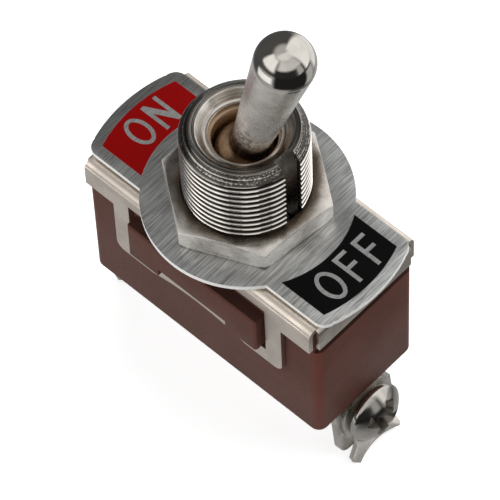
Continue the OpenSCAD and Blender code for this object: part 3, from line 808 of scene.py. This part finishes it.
def letter_material():
    """The brushed metal that the lettering shows."""
    finish = Finish("Letter metal", 0.004)
    return finish.made(brushed(finish.tree, 1.15, 0.6, 0.35, 0.55))


def moulding_material():
    """Brown resin with a painted red sheen on its upright rounded edges and painted shade where it faces up.
    """
    resin = finish_colours()["moulding"]
    finish = Finish("Brown moulding", 0.02, metallic=0.0, bump_strength=0.35, specular=0.07)
    skin = placed(finish.tree, moulding_group, {
        "Light": shade_of(resin, 1.12), "Dark": shade_of(resin, 0.85), "Low": 0.34, "High": 0.5})
    x, y, z = axes_of(facing(finish.tree))
    # Painted red sheen on the upright rounded edges
    edge_sheen = ramp(maths("ABSOLUTE", x * y), 0.12, 0.4, 0.0, 0.7)
    # Painted shade where the resin faces up
    upper = ramp(z, 0.6, 0.9, 0.0, 0.75)
    return finish.made(skin, Tone=mixed(upper, mixed(edge_sheen, skin["Tone"], MOULDING_EDGE_SHEEN), MOULDING_UPPER_SHADE))


# ---------------------------------------------------------------- shapes

def ridge(phase, crest=0.14, root=0.1):
    """Height from 0 to 1 of a vee thread at a phase in turns, with flats at the crest and the root."""
    away = np.abs(np.mod(phase, 1.0) - 0.5) * 2
    return np.clip((1 - root - away) / (1 - root - crest), 0, 1)


def threaded_radius(angle, z, crest_radius, depth, pitch):
    """Radius of a right-hand thread: the root radius plus the ridge at phase z/pitch - angle/turn."""
    return crest_radius - depth + depth * ridge(z / pitch - angle / TAU)


def round_angles(columns=96):
    return np.linspace(0, TAU, columns, endpoint=False)


def swept(radius, height):
    """Points about Z for rows of radii, one for the row or one for each column, and the rows' heights."""
    angle = round_angles()
    return np.stack(np.broadcast_arrays(
        radius * np.cos(angle), radius * np.sin(angle), np.asarray(height)[:, None]), -1)


def turned(profile):
    """Points about Z for a profile of (radius, height) points."""
    profile = np.asarray(profile, float)
    return swept(profile[:, :1], profile[:, 1])


def arc(centre, radius, start, end, steps):
    """Points on a circle from one angle to another, in degrees."""
    angle = np.radians(np.linspace(start, end, steps))
    return np.stack([centre[0] + radius * np.cos(angle), centre[1] + radius * np.sin(angle)], -1)


def bushing_surface(s):
    """The bushing as one closed skin, rows running round its section and columns round its axis.

    Rows go up the thread, over the chamfered top, down the mouth and bore and back under the lip. The
    columns start and end at the keyway's walls; the last few lie across its floor at x = key_floor.
    """
    low = low_of("bushing")
    neck_r, lip_r, lip_top = 5.15, 5.5, -0.5
    root_r = s.radius - s.depth
    stem_r, bell_gap = bpy.context.scene.switch_lever.stem, 0.12
    bell_r = (PIVOT - low) * math.tan(LEAN) + stem_r / math.cos(LEAN) + bell_gap
    bell_top = PIVOT - 3.1
    chamfer_z = BUSHING_TOP - s.chamfer
    mouth_z = BUSHING_TOP - 0.8
    thread_foot, per_turn = 0.6, 14
    thread_z = np.arange(thread_foot, BUSHING_TOP + 1e-6, s.pitch / per_turn)
    thread_z[-1] = BUSHING_TOP
    outside = [(lip_r, low), (lip_r, lip_top), (neck_r, lip_top), (neck_r, 0.0), (root_r, 0.0),
               (root_r, 0.02)]
    inside = [(s.radius - s.chamfer - 0.05, BUSHING_TOP), (s.mouth + 0.06, BUSHING_TOP),
              (s.mouth, BUSHING_TOP - 0.02), (s.mouth - 0.08, BUSHING_TOP - 0.09),
              (s.ledge + 0.12, mouth_z + 0.1), (s.ledge + 0.03, mouth_z + 0.01),
              (s.ledge - 0.1, mouth_z - 0.04), (s.step + 0.06, mouth_z - 0.02), (s.step, mouth_z - 0.08),
              (s.step, mouth_z - 0.5), (s.step - 0.04, mouth_z - 0.55), (s.bore + 0.05, mouth_z - 0.56),
              (s.bore, mouth_z - 0.62), (s.bore, bell_top), (bell_r, low)]
    around, across = 288, 6
    share = np.linspace(0, 1, around)
    rows = []

    def row(radius, z, keyed, threaded=False):
        wall = np.arcsin(s.key_half / np.minimum(radius, s.radius))
        angle = wall + (TAU - 2 * wall) * share
        r = np.full(around, radius)
        if threaded:
            r = np.minimum(threaded_radius(angle, z, s.radius, s.depth, s.pitch),
                           s.radius - max(0.0, z - chamfer_z))
            wall = np.arcsin(s.key_half / r[[0, -1]])
            angle = wall[0] + (TAU - wall[0] - wall[1]) * share
        outer = np.stack([r * np.cos(angle), r * np.sin(angle), np.full(around, z)], -1)
        y = np.linspace(-s.key_half, s.key_half, across)
        x = np.full(across, s.key_floor) if keyed else np.sqrt(radius ** 2 - y ** 2)
        floor = np.stack([x, y, np.full(across, z)], -1)
        rows.append(np.concatenate([outer, floor]))

    for radius, z in outside:
        row(radius, z, z > 0.01)
    for z in thread_z:
        row(s.radius - max(0.0, z - chamfer_z), z, True, True)
    for index, (radius, z) in enumerate(inside):
        row(radius, z, index == 0)
    rows.append(rows[0])
    return sealed(grid_object("bushing_threaded", np.array(rows)))


def lever_surface(s):
    """The lever as a turned form: round tip, taper, hollow neck fillet, ball, stem and bore.

    The taper is a straight line from the neck's radius to the tip's; the fillet and ball are arcs. The
    fillet touches the neck's side and the ball from outside. All of it then leans about the pivot.
    """
    tip_height = s.reach - s.tip
    widening, rise = s.tip - s.neck, tip_height - s.neck_height
    slope = math.degrees(math.atan(widening / rise))
    fillet_x = s.neck + s.fillet
    fillet_height = math.sqrt((s.ball + s.fillet) ** 2 - fillet_x ** 2)
    touch = math.degrees(math.atan2(fillet_height, fillet_x))
    foot, trim, bore_trim = -s.stem_length, 0.15, 0.1
    profile = np.concatenate([
        [[0.0, s.reach]],
        arc((0, tip_height), s.tip, 89, -slope, 26),
        [[s.neck + widening * share, s.neck_height + rise * share] for share in np.linspace(0.96, 0, 18)],
        arc((fillet_x, fillet_height), s.fillet, 180, 180 + touch, 10),
        arc((0, 0), s.ball, touch, -50, 24)[1:],
        [[s.stem, -math.sqrt(s.ball ** 2 - s.stem ** 2)], [s.stem, foot + trim], [s.stem - trim, foot],
         [s.bore + bore_trim, foot], [s.bore, foot + bore_trim], [s.bore, -s.bore_top], [0.0, -s.bore_top]],
    ])
    c, d = math.cos(LEAN), math.sin(LEAN)
    lean = np.array([[c, 0, d], [0, 1, 0], [-d, 0, c]])
    return sealed(grid_object("lever_turned", turned(profile[::-1]) @ lean.T + (0, 0, PIVOT)))


def screw_surface(s):
    """A terminal screw about its own axis, from its tip to its domed head, before the recess is cut.

    The shank's radius follows the same thread rule as the bushing's; the head is an arc on a short rim.
    """
    tip = s.under - s.shank_length
    dome = s.head_height - s.rim
    dome_r = (s.head ** 2 + dome ** 2) / (2 * dome)
    middle = s.under + s.head_height - dome_r
    edge = math.degrees(math.asin((s.under + s.rim - middle) / dome_r))
    root, per_turn, point = s.shank - s.depth, 12, 0.5
    z = np.arange(tip, s.under - 0.3, s.pitch / per_turn)
    radius = threaded_radius(round_angles()[None, :], z[:, None], s.shank, s.depth, s.pitch)
    radius = np.minimum(radius, (s.shank - point + (z - tip))[:, None])
    head = np.concatenate([
        [[root, s.under - 0.28], [root, s.under], [s.head - 0.12, s.under],
         [s.head - 0.03, s.under + 0.05], [s.head, s.under + 0.16], [s.head, s.under + s.rim - 0.08]],
        arc((0, middle), dome_r, edge + 1.5, 90, 26)])
    rows = np.concatenate([turned([[0.0, tip]]), swept(radius, z), turned(head)])
    return sealed(grid_object("screw", rows))


def recess_arm(s, turn):
    """One arm of a cross recess: a wedge that narrows and shortens towards its foot, turned about Z."""
    half_width, foot_width, half_length, foot_length = 0.78, 0.42, 3.5, 1.2
    top, over = s.under + s.head_height, 0.6
    corners = np.array([[x, y, z] for z in (-1, 1) for x, y in ((-1, -1), (1, -1), (1, 1), (-1, 1))], float)
    high = corners[:, 2] > 0
    corners[:, 0] *= np.where(high, half_length, foot_length)
    corners[:, 1] *= np.where(high, half_width, foot_width)
    corners[:, 2] = np.where(high, top + over, top - s.recess_depth)
    c, d = math.cos(turn), math.sin(turn)
    corners[:, :2] = corners[:, :2] @ np.array([[c, d], [-d, c]])
    faces = [[3, 2, 1, 0], [4, 5, 6, 7], [0, 1, 5, 4], [1, 2, 6, 5], [2, 3, 7, 6], [3, 0, 4, 7]]
    return new_mesh("recess_arm", corners, faces, smooth=False)


def screw_place(side):
    """Where a terminal screw lies: its head's axis points away from the tab and leans up with it.

    The seat is found from the washer, whose lower rim lies on the tab. Gives the 3 x 3 turn and the seat,
    which at the common end are half a turn about Z from those at the load end.
    """
    tilt, washer_r = math.radians(6.0), 3.35
    low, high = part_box("load_washer")
    along = np.array([math.cos(tilt), 0.0, math.sin(tilt)])
    across = np.array([0.0, 1.0, 0.0])
    turn = np.stack([across, np.cross(along, across), along], -1)
    seat = np.array([low.x / MM + washer_r * math.sin(tilt), 0.0, (low.z + high.z) / 2 / MM])
    about = np.diag([side, side, 1.0])
    return about @ turn, about @ seat


def stretched_wing(plate):
    """The off wing reaches a little further than the on wing: x grows by a smooth step beyond the disc."""
    disc_r, run = 9.5, 4.0
    points = points_of(plate)
    share = np.clip((points[:, 0] - disc_r) / run, 0, 1)
    points[:, 0] += bpy.context.scene.switch_plate.off_reach * share * share * (3 - 2 * share)
    return reshaped(plate, points)


def closed_mouth(nut):
    """Draws the foot of the nut's lead-in up as a straight bore that closes on the thread."""
    gap, lead_in, depth = 0.04, 0.8, 0.7
    radius = bpy.context.scene.switch_bushing.radius + gap
    points = points_of(nut)
    away = np.hypot(points[:, 0], points[:, 1])
    upper = points[:, 2] > points[:, 2].max() - depth
    inner = upper & (away > radius) & (away < radius + lead_in)
    points[inner, :2] *= (radius / away[inner])[:, None]
    reshaped(nut, points)


# ---------------------------------------------------------------- letters, as rings of (across, up) points

def letter_o(width, height, stroke):
    """Two ellipses, one inside the other by the stroke."""
    circle = np.stack([np.cos(round_angles(64)), np.sin(round_angles(64))], -1)
    return [circle * (width / 2, height / 2), circle * (width / 2 - stroke, height / 2 - stroke)]


def letter_n(width, height, stroke):
    """Two stems with a slanting stroke between the left one's head and the right one's foot."""
    w, h = width / 2, height / 2
    run = width - 2 * stroke
    slant = stroke * math.hypot(run, height) / height * 0.98
    wide, drop = slant * 1.02, slant * height / run
    half = [(-w, -h), (-w + stroke, -h), (-w + stroke, h - drop), (w - wide, -h), (w, -h)]
    return [np.array(half + [(-x, -y) for x, y in half])]


def letter_f(width, height, stroke):
    """A stem with a bar at its head and a shorter one at its middle."""
    w, h = width / 2, height / 2
    middle, short = 0.02 * height, w * 0.82
    low, high, inner = middle - stroke / 2, middle + stroke / 2, -w + stroke
    return [np.array([(-w, -h), (inner, -h), (inner, low), (short, low), (short, high), (inner, high),
                      (inner, h - stroke), (w, h - stroke), (w, h), (-w, h)])]


def word(name, letters, middle, height, stroke):
    """Letters along +Y with their heads towards -X; each is (shape, width, place along Y)."""
    sunk, proud = 0.01, 0.015
    low, high = PLATE_TOP - sunk, PLATE_TOP + proud
    mesh = bpy.data.meshes.new(name)
    with edited(mesh) as bm:
        for shape, width, along in letters:
            rings = [np.stack([middle - ring[:, 1], along + ring[:, 0]], -1)
                     for ring in shape(width, height, stroke)]
            levels = [(rings[0], high), (rings[0], low)]
            if len(rings) == 2:
                levels[1:1] = [(rings[1], high), (rings[1], low)]
            loops = [[bm.verts.new((*point * MM, z * MM)) for point in ring] for ring, z in levels]
            pairs = zip(loops, loops[1:] + loops[:1])
            if len(rings) == 1:
                pairs = [loops]
                bm.faces.new(loops[0])
                bm.faces.new(loops[1][::-1])
            for loop, after in pairs:
                for i, vertex in enumerate(loop):
                    k = (i + 1) % len(loop)
                    bm.faces.new((vertex, after[i], after[k], loop[k]))
        bmesh.ops.recalc_face_normals(bm, faces=bm.faces)
    return added(name, mesh)


# ---------------------------------------------------------------- operators

class SWITCH_OT_housing(bpy.types.Operator):
    """Rounds the moulded housing's edges and gives it the brown resin"""
    bl_idname = "switch.housing"
    bl_label = "Housing"

    def execute(self, context):
        finish_piece(softened("housing", 0.12, 2), CASE, "brown_moulding", moulding_material(), "housing")
        return {"FINISHED"}


class SWITCH_OT_frame(bpy.types.Operator):
    """Rounds the pressed frame's edges and plates it"""
    bl_idname = "switch.frame"
    bl_label = "Frame"

    def execute(self, context):
        satin = plated("Satin plated steel", finish_colours()["steel"], 0.86, 0.26, 0.38, ripple=0.2,
                       pits=0.25, patch_scale=0.35, pit_scale=6.0)
        finish_piece(softened("frame", 0.06, 1), CASE, "plated_steel", satin, "frame")
        return {"FINISHED"}


class SWITCH_OT_bushing(bpy.types.Operator):
    """Turns and threads the bushing and cuts its keyway"""
    bl_idname = "switch.bushing"
    bl_label = "Bushing"

    def execute(self, context):
        bushing = smooth_by_angle(bushing_surface(context.scene.switch_bushing), 40)
        finish_piece(bushing, CASE, "nickel", bushing_material(), "bushing")
        return {"FINISHED"}


class SWITCH_OT_nut(bpy.types.Operator):
    """Rounds and plates the hexagon nut and the toothed washer"""
    bl_idname = "switch.nut"
    bl_label = "Nut and washer"

    def execute(self, context):
        nut = softened("hex_nut", 0.26, 4, before=closed_mouth)
        finish_piece(nut, CASE, "nickel", nut_material(), "hex_nut")
        steel = plated("Washer steel", finish_colours()["steel"], low=0.25, high=0.4)
        finish_piece(softened("lock_washer", 0.03, 1), CASE, "plated_steel", steel, "lock_washer")
        return {"FINISHED"}


class SWITCH_OT_plate(bpy.types.Operator):
    """Brushes the legend plate, paints its fields and adds the words ON and OFF"""
    bl_idname = "switch.plate"
    bl_label = "Legend plate"

    def execute(self, context):
        s = context.scene.switch_plate
        plate = stretched_wing(softened("nameplate", 0.14, 3))
        finish_piece(plate, CASE, "brushed_aluminium", brushed_plate_material(), "nameplate")
        metal = letter_material()
        on = [(letter_o, 2.25, -1.42), (letter_n, 2.0, 1.4)]
        off = [(letter_o, 2.25, -2.15), (letter_f, 1.6, 0.62), (letter_f, 1.6, 3.1)]
        for name, letters, side in (("word_on", on, -1), ("word_off", off, 1)):
            raised = word(name, letters, side * s.letter_middle, s.letter_height, s.letter_stroke)
            finish_piece(raised, CASE, "brushed_aluminium", metal)
        return {"FINISHED"}


class SWITCH_OT_lever(bpy.types.Operator):
    """Turns the bat lever with its ball, stem and fillet"""
    bl_idname = "switch.lever"
    bl_label = "Lever"

    def execute(self, context):
        lever = smooth_by_angle(lever_surface(context.scene.switch_lever), 40)
        finish_piece(lever, LEVER, "nickel", lever_material(), "lever")
        return {"FINISHED"}


class SWITCH_OT_terminals(bpy.types.Operator):
    """Finishes both terminals: tab, dished washer and screw"""
    bl_idname = "switch.terminals"
    bl_label = "Terminals"

    def execute(self, context):
        nickel = finish_colours()["nickel"]
        tab = plated("Terminal plating", nickel, 0.8, 0.2, 0.34, ripple=0.4, pits=0.35, distance=0.02)
        # Painted shade: the screw heads' nickel is a darker copy of the nickel
        head = plated("Screw nickel", shade_of(nickel, 0.8), low=0.1, high=0.22, pits=0.1,
                      patch_scale=0.35, distance=0.015)
        for end, side in (("load", 1), ("common", -1)):
            terminal, washer, screw = (f"{end}_{piece}" for piece in ("terminal", "washer", "screw"))
            finish_piece(softened(terminal, 0.09, 2), CASE, "plated_steel", tab, terminal)
            finish_piece(smooth_by_angle(solid_copy(washer), 30), CASE, "plated_steel", tab, washer)
            finish_piece(self.screw(context.scene.switch_screw, side, screw), CASE, "nickel", head, screw)
        return {"FINISHED"}

    def screw(self, s, side, name):
        """A threaded screw with its recess, in its seat."""
        screw = screw_surface(s)
        for turn in (s.recess_turn, s.recess_turn + TAU / 4):
            cut(screw, recess_arm(s, turn))
        screw.name = f"{name}_threaded"
        turn, seat = screw_place(side)
        return smooth_by_angle(reshaped(screw, points_of(screw) @ turn.T + seat), 30)


class SWITCH_OT_works(bpy.types.Operator):
    """Gives the hidden contact works their brass, silver, steel and fibre"""
    bl_idname = "switch.works"
    bl_label = "Contact works"

    def execute(self, context):
        brass = plain_material("Brass", (0.58, 0.38, 0.13), 1.0, 0.3, 0.3, 0.01)
        silver = plain_material("Silver", (0.72, 0.71, 0.69), 1.0, 0.3, 0.3, 0.01)
        steel = plain_material("Bright steel", (0.42, 0.41, 0.4), 1.0, 0.28, 0.2, 0.008)
        fibre = plain_material("Fibre", (0.2, 0.09, 0.05), 0.0, 0.7, 0.8, 0.03)
        for material, names in ((brass, ("plunger", "rocker", "saddle", "saddle_rivet")),
                                (silver, ("rocker_contact", "fixed_contact")),
                                (steel, ("lever_pin", "plunger_spring")), (fibre, ("insulator",))):
            for name in names:
                slots = frame["nodes"][name].data.materials
                for index in range(len(slots)):
                    slots[index] = material
                if not slots:
                    slots.append(material)
        return {"FINISHED"}


# ---------------------------------------------------------------- stage

def seen_rays(path):
    """1 for rays from the camera, a glossy surface or glass."""
    mirrored = maths("MAXIMUM", path["Is Glossy Ray"], path["Is Transmission Ray"])
    return maths("MAXIMUM", path["Is Camera Ray"], mirrored)


def emission(tree, strength, tone=(1.0, 1.0, 1.0)):
    return output(tree, "ShaderNodeEmission", {"Color": tone, "Strength": strength})


def chosen(tree, factor, first, second):
    """A mix of two shaders, the second where the factor is 1."""
    return output(tree, "ShaderNodeMixShader", {0: factor, 1: first, 2: second})


def patch_group():
    """A soft-edged patch between two bearings in degrees and two heights, which may also be distances.

    Patch = falloff of |bearing - Middle| at Half width times the rise at Low and the fall at High.
    """
    group, given, end = new_group(
        "Soft patch", {"Bearing": 0.0, "Height": 0.0, "Middle": 0.0, "Half width": 30.0, "Low": 0.0,
                       "High": 60.0, "Side edge": 8.0, "Edge": 8.0}, {"Patch": FLOAT})
    apart = maths("ABSOLUTE", maths("WRAP", given["Bearing"] - given["Middle"], 180.0, -180.0))

    def over(value, limit, edge):
        return ramp((value - limit) / edge, -0.5, 0.5)

    side = over(given["Half width"], apart, given["Side edge"])
    rise = over(given["Height"], given["Low"], given["Edge"])
    fall = over(given["High"], given["Height"], given["Edge"])
    feed(end, {"Patch": side * (rise * fall)})
    return group


def patches(direction, height, base, *listed):
    """Lays patches over a base brightness.

    Each is (brightness, middle, half width, low, high, side edge, edge).
    """
    total = base
    for brightness, middle, half, low, high, side_edge, edge in listed:
        patch = placed(direction.tree, patch_group, {
            "Bearing": direction, "Height": height, "Middle": middle, "Half width": half,
            "Low": low, "High": high, "Side edge": side_edge, "Edge": edge})
        total = output(direction.tree, "ShaderNodeMapRange", {
            "Value": patch["Patch"], "To Min": total, "To Max": brightness})
    return total


class SWITCH_OT_stage(bpy.types.Operator):
    """Sets the pale floor, the soft lights and the camera"""
    bl_idname = "switch.stage"
    bl_label = "Stage"

    def execute(self, context):
        self.floor()
        self.world(context.scene)
        self.room()
        self.lights()
        self.camera(context.scene)
        context.scene.view_settings.view_transform = "Standard"
        return {"FINISHED"}

    def floor(self):
        """A pale floor, as white as the backdrop to the camera.

        The metal mirrors it as a lit pool round the switch, with the lamps' pools beyond.
        """
        reach = 2000.0
        corners = [(x * reach, y * reach, FLOOR_Z) for x, y in ((-1, -1), (1, -1), (1, 1), (-1, 1))]
        material, tree, out = bare_material("Pale floor")
        path = wires(node(tree, "ShaderNodeLightPath"))
        x, y, z, away = millimetres(tree)
        strength = patches(
            bearing(x, y), away, 0.5,
            (0.1, 12, 42, 26, 4000, 30, 16),
            (0.1, 175, 60, 60, 4000, 30, 40),
            (0.02, -28, 52, 42, 4000, 14, 16),
            (0.6, 36, 13, 40, 300, 10, 20),
            (1.25, 86, 30, 85, 700, 16, 24),
            (1.4, -112, 26, 72, 240, 10, 16),
            (0.46, 0, 181, -10, 20, 1, 10))
        paint = output(tree, "ShaderNodeBsdfPrincipled", {"Base Color": (0.86, 0.86, 0.86), "Roughness": 0.8})
        lit = output(tree, "ShaderNodeAddShader", {0: paint, 1: emission(tree, 0.55)})
        seen = chosen(tree, path["Is Camera Ray"], emission(tree, strength), lit)
        feed(out, {0: chosen(tree, seen_rays(path), paint, seen)})
        floor = new_mesh("floor", corners, [[0, 1, 2, 3]], smooth=False)
        floor.data.materials.append(material)

    def world(self, scene):
        """A dim even light for the surfaces, and a white backdrop for the camera."""
        scene.world = bpy.data.worlds.new("Studio")
        scene.world.use_nodes = True
        tree = scene.world.node_tree
        tree.nodes.clear()
        dim, white = (output(tree, "ShaderNodeBackground", {"Color": (1.0, 1.0, 1.0), "Strength": strength})
                      for strength in (0.3, 1.0))
        path = wires(node(tree, "ShaderNodeLightPath"))
        feed(tree.nodes.new("ShaderNodeOutputWorld"), {0: chosen(tree, seen_rays(path), dim, white)})

    def room(self):
        """The room that polished metal mirrors: a half sphere with lit and dark patches on grey."""
        radius = 900.0
        turn = round_angles(48)
        rise = np.radians(np.linspace(-2, 89.9, 24))[:, None]
        points = radius * np.stack(np.broadcast_arrays(
            np.cos(rise) * np.cos(turn), np.cos(rise) * np.sin(turn), np.sin(rise)), -1)
        room = grid_object("mirrored_room", points)
        material, tree, out = bare_material("Mirrored room")
        x, y, z = axes_of(vector_maths("NORMALIZE", position(tree)))
        strength = patches(
            bearing(x, y), maths("DEGREES", maths("ARCSINE", z)), 0.1,
            (0.62, 0, 181, 56, 120, 1, 20),
            (0.9, -25, 50, 26, 60, 24, 10),
            (1.1, -20, 100, 62, 120, 40, 10),
            (0.03, -45, 36, -10, 23, 12, 8),
            (0.55, 8, 10, -10, 28, 8, 10),
            (1.35, 72, 44, -10, 76, 12, 14),
            (1.3, -113, 29, 13, 58, 12, 10))
        feed(out, {0: emission(tree, strength, (1.0, 0.99, 0.975))})
        room.data.materials.append(material)
        room.visible_camera = False
        room.visible_diffuse = False
        room.visible_transmission = False
        room.visible_shadow = False

    def lights(self):
        """Two soft boxes, each a card that faces the switch; the power gives it an even brightness."""
        away = 0.5
        for name, azimuth, elevation, width, height, brightness in (
                ("Key soft box", 72, 49, 0.87, 0.87, 1.6),
                ("Side soft box", -113, 26, 0.66, 0.54, 1.3)):
            lamp = bpy.data.lights.new(name, "AREA")
            lamp.shape = "RECTANGLE"
            lamp.size, lamp.size_y = width, height
            lamp.energy = brightness * math.pi * width * height
            card = added(name, lamp)
            az, el = math.radians(azimuth), math.radians(elevation)
            towards = Vector((math.cos(el) * math.cos(az), math.cos(el) * math.sin(az), math.sin(el)))
            card.location = towards * away
            card.rotation_mode = "QUATERNION"
            card.rotation_quaternion = (-towards).to_track_quat("-Z", "Y")
            card.visible_glossy = False

    def camera(self, scene):
        """The camera looks along its azimuth and elevation at an aim point beside the bushing's seat."""
        s = scene.switch_studio
        az, el = s.azimuth, s.elevation
        back = Vector((math.sin(az) * math.cos(el), -math.cos(az) * math.cos(el), math.sin(el)))
        right = Vector((math.cos(az), math.sin(az), 0))
        up = back.cross(right)
        c, d = math.cos(s.roll), math.sin(s.roll)
        right, up = right * c + up * d, up * c - right * d
        aim = right * s.aim_right + up * s.aim_up
        lens = bpy.data.cameras.new("Camera")
        lens.lens = s.lens
        lens.sensor_width = 36
        lens.clip_start, lens.clip_end = 0.01, 10
        scene.camera = added("Camera", lens)
        turn = Matrix((right, up, back)).transposed()
        scene.camera.matrix_world = Matrix.Translation((aim + back * s.distance) * MM) @ turn.to_4x4()


class SWITCH_PT_panel(bpy.types.Panel):
    """Lists the switch's operators and settings"""
    bl_label = "Toggle switch"
    bl_idname = "SWITCH_PT_panel"
    bl_space_type = "VIEW_3D"
    bl_region_type = "UI"
    bl_category = "Toggle switch"

    def draw(self, context):
        for operator in OPERATORS:
            self.layout.operator(operator.bl_idname)
        for name, group in SETTINGS.items():
            box = self.layout.box()
            for key in group.__annotations__:
                box.prop(getattr(context.scene, name), key)


OPERATORS = (SWITCH_OT_housing, SWITCH_OT_frame, SWITCH_OT_bushing, SWITCH_OT_nut, SWITCH_OT_plate,
             SWITCH_OT_lever, SWITCH_OT_terminals, SWITCH_OT_works, SWITCH_OT_stage)
CLASSES = (*SETTINGS.values(), *OPERATORS, SWITCH_PT_panel)


def register():
    for item in CLASSES:
        bpy.utils.register_class(item)
    for name, group in SETTINGS.items():
        setattr(bpy.types.Scene, name, bpy.props.PointerProperty(type=group))


def unregister():
    for name in SETTINGS:
        delattr(bpy.types.Scene, name)
    for item in reversed(CLASSES):
        bpy.utils.unregister_class(item)


def main():
    register()
    for operator in OPERATORS:
        family, name = operator.bl_idname.split(".")
        getattr(getattr(bpy.ops, family), name)()


if __name__ == "__main__":
    main()
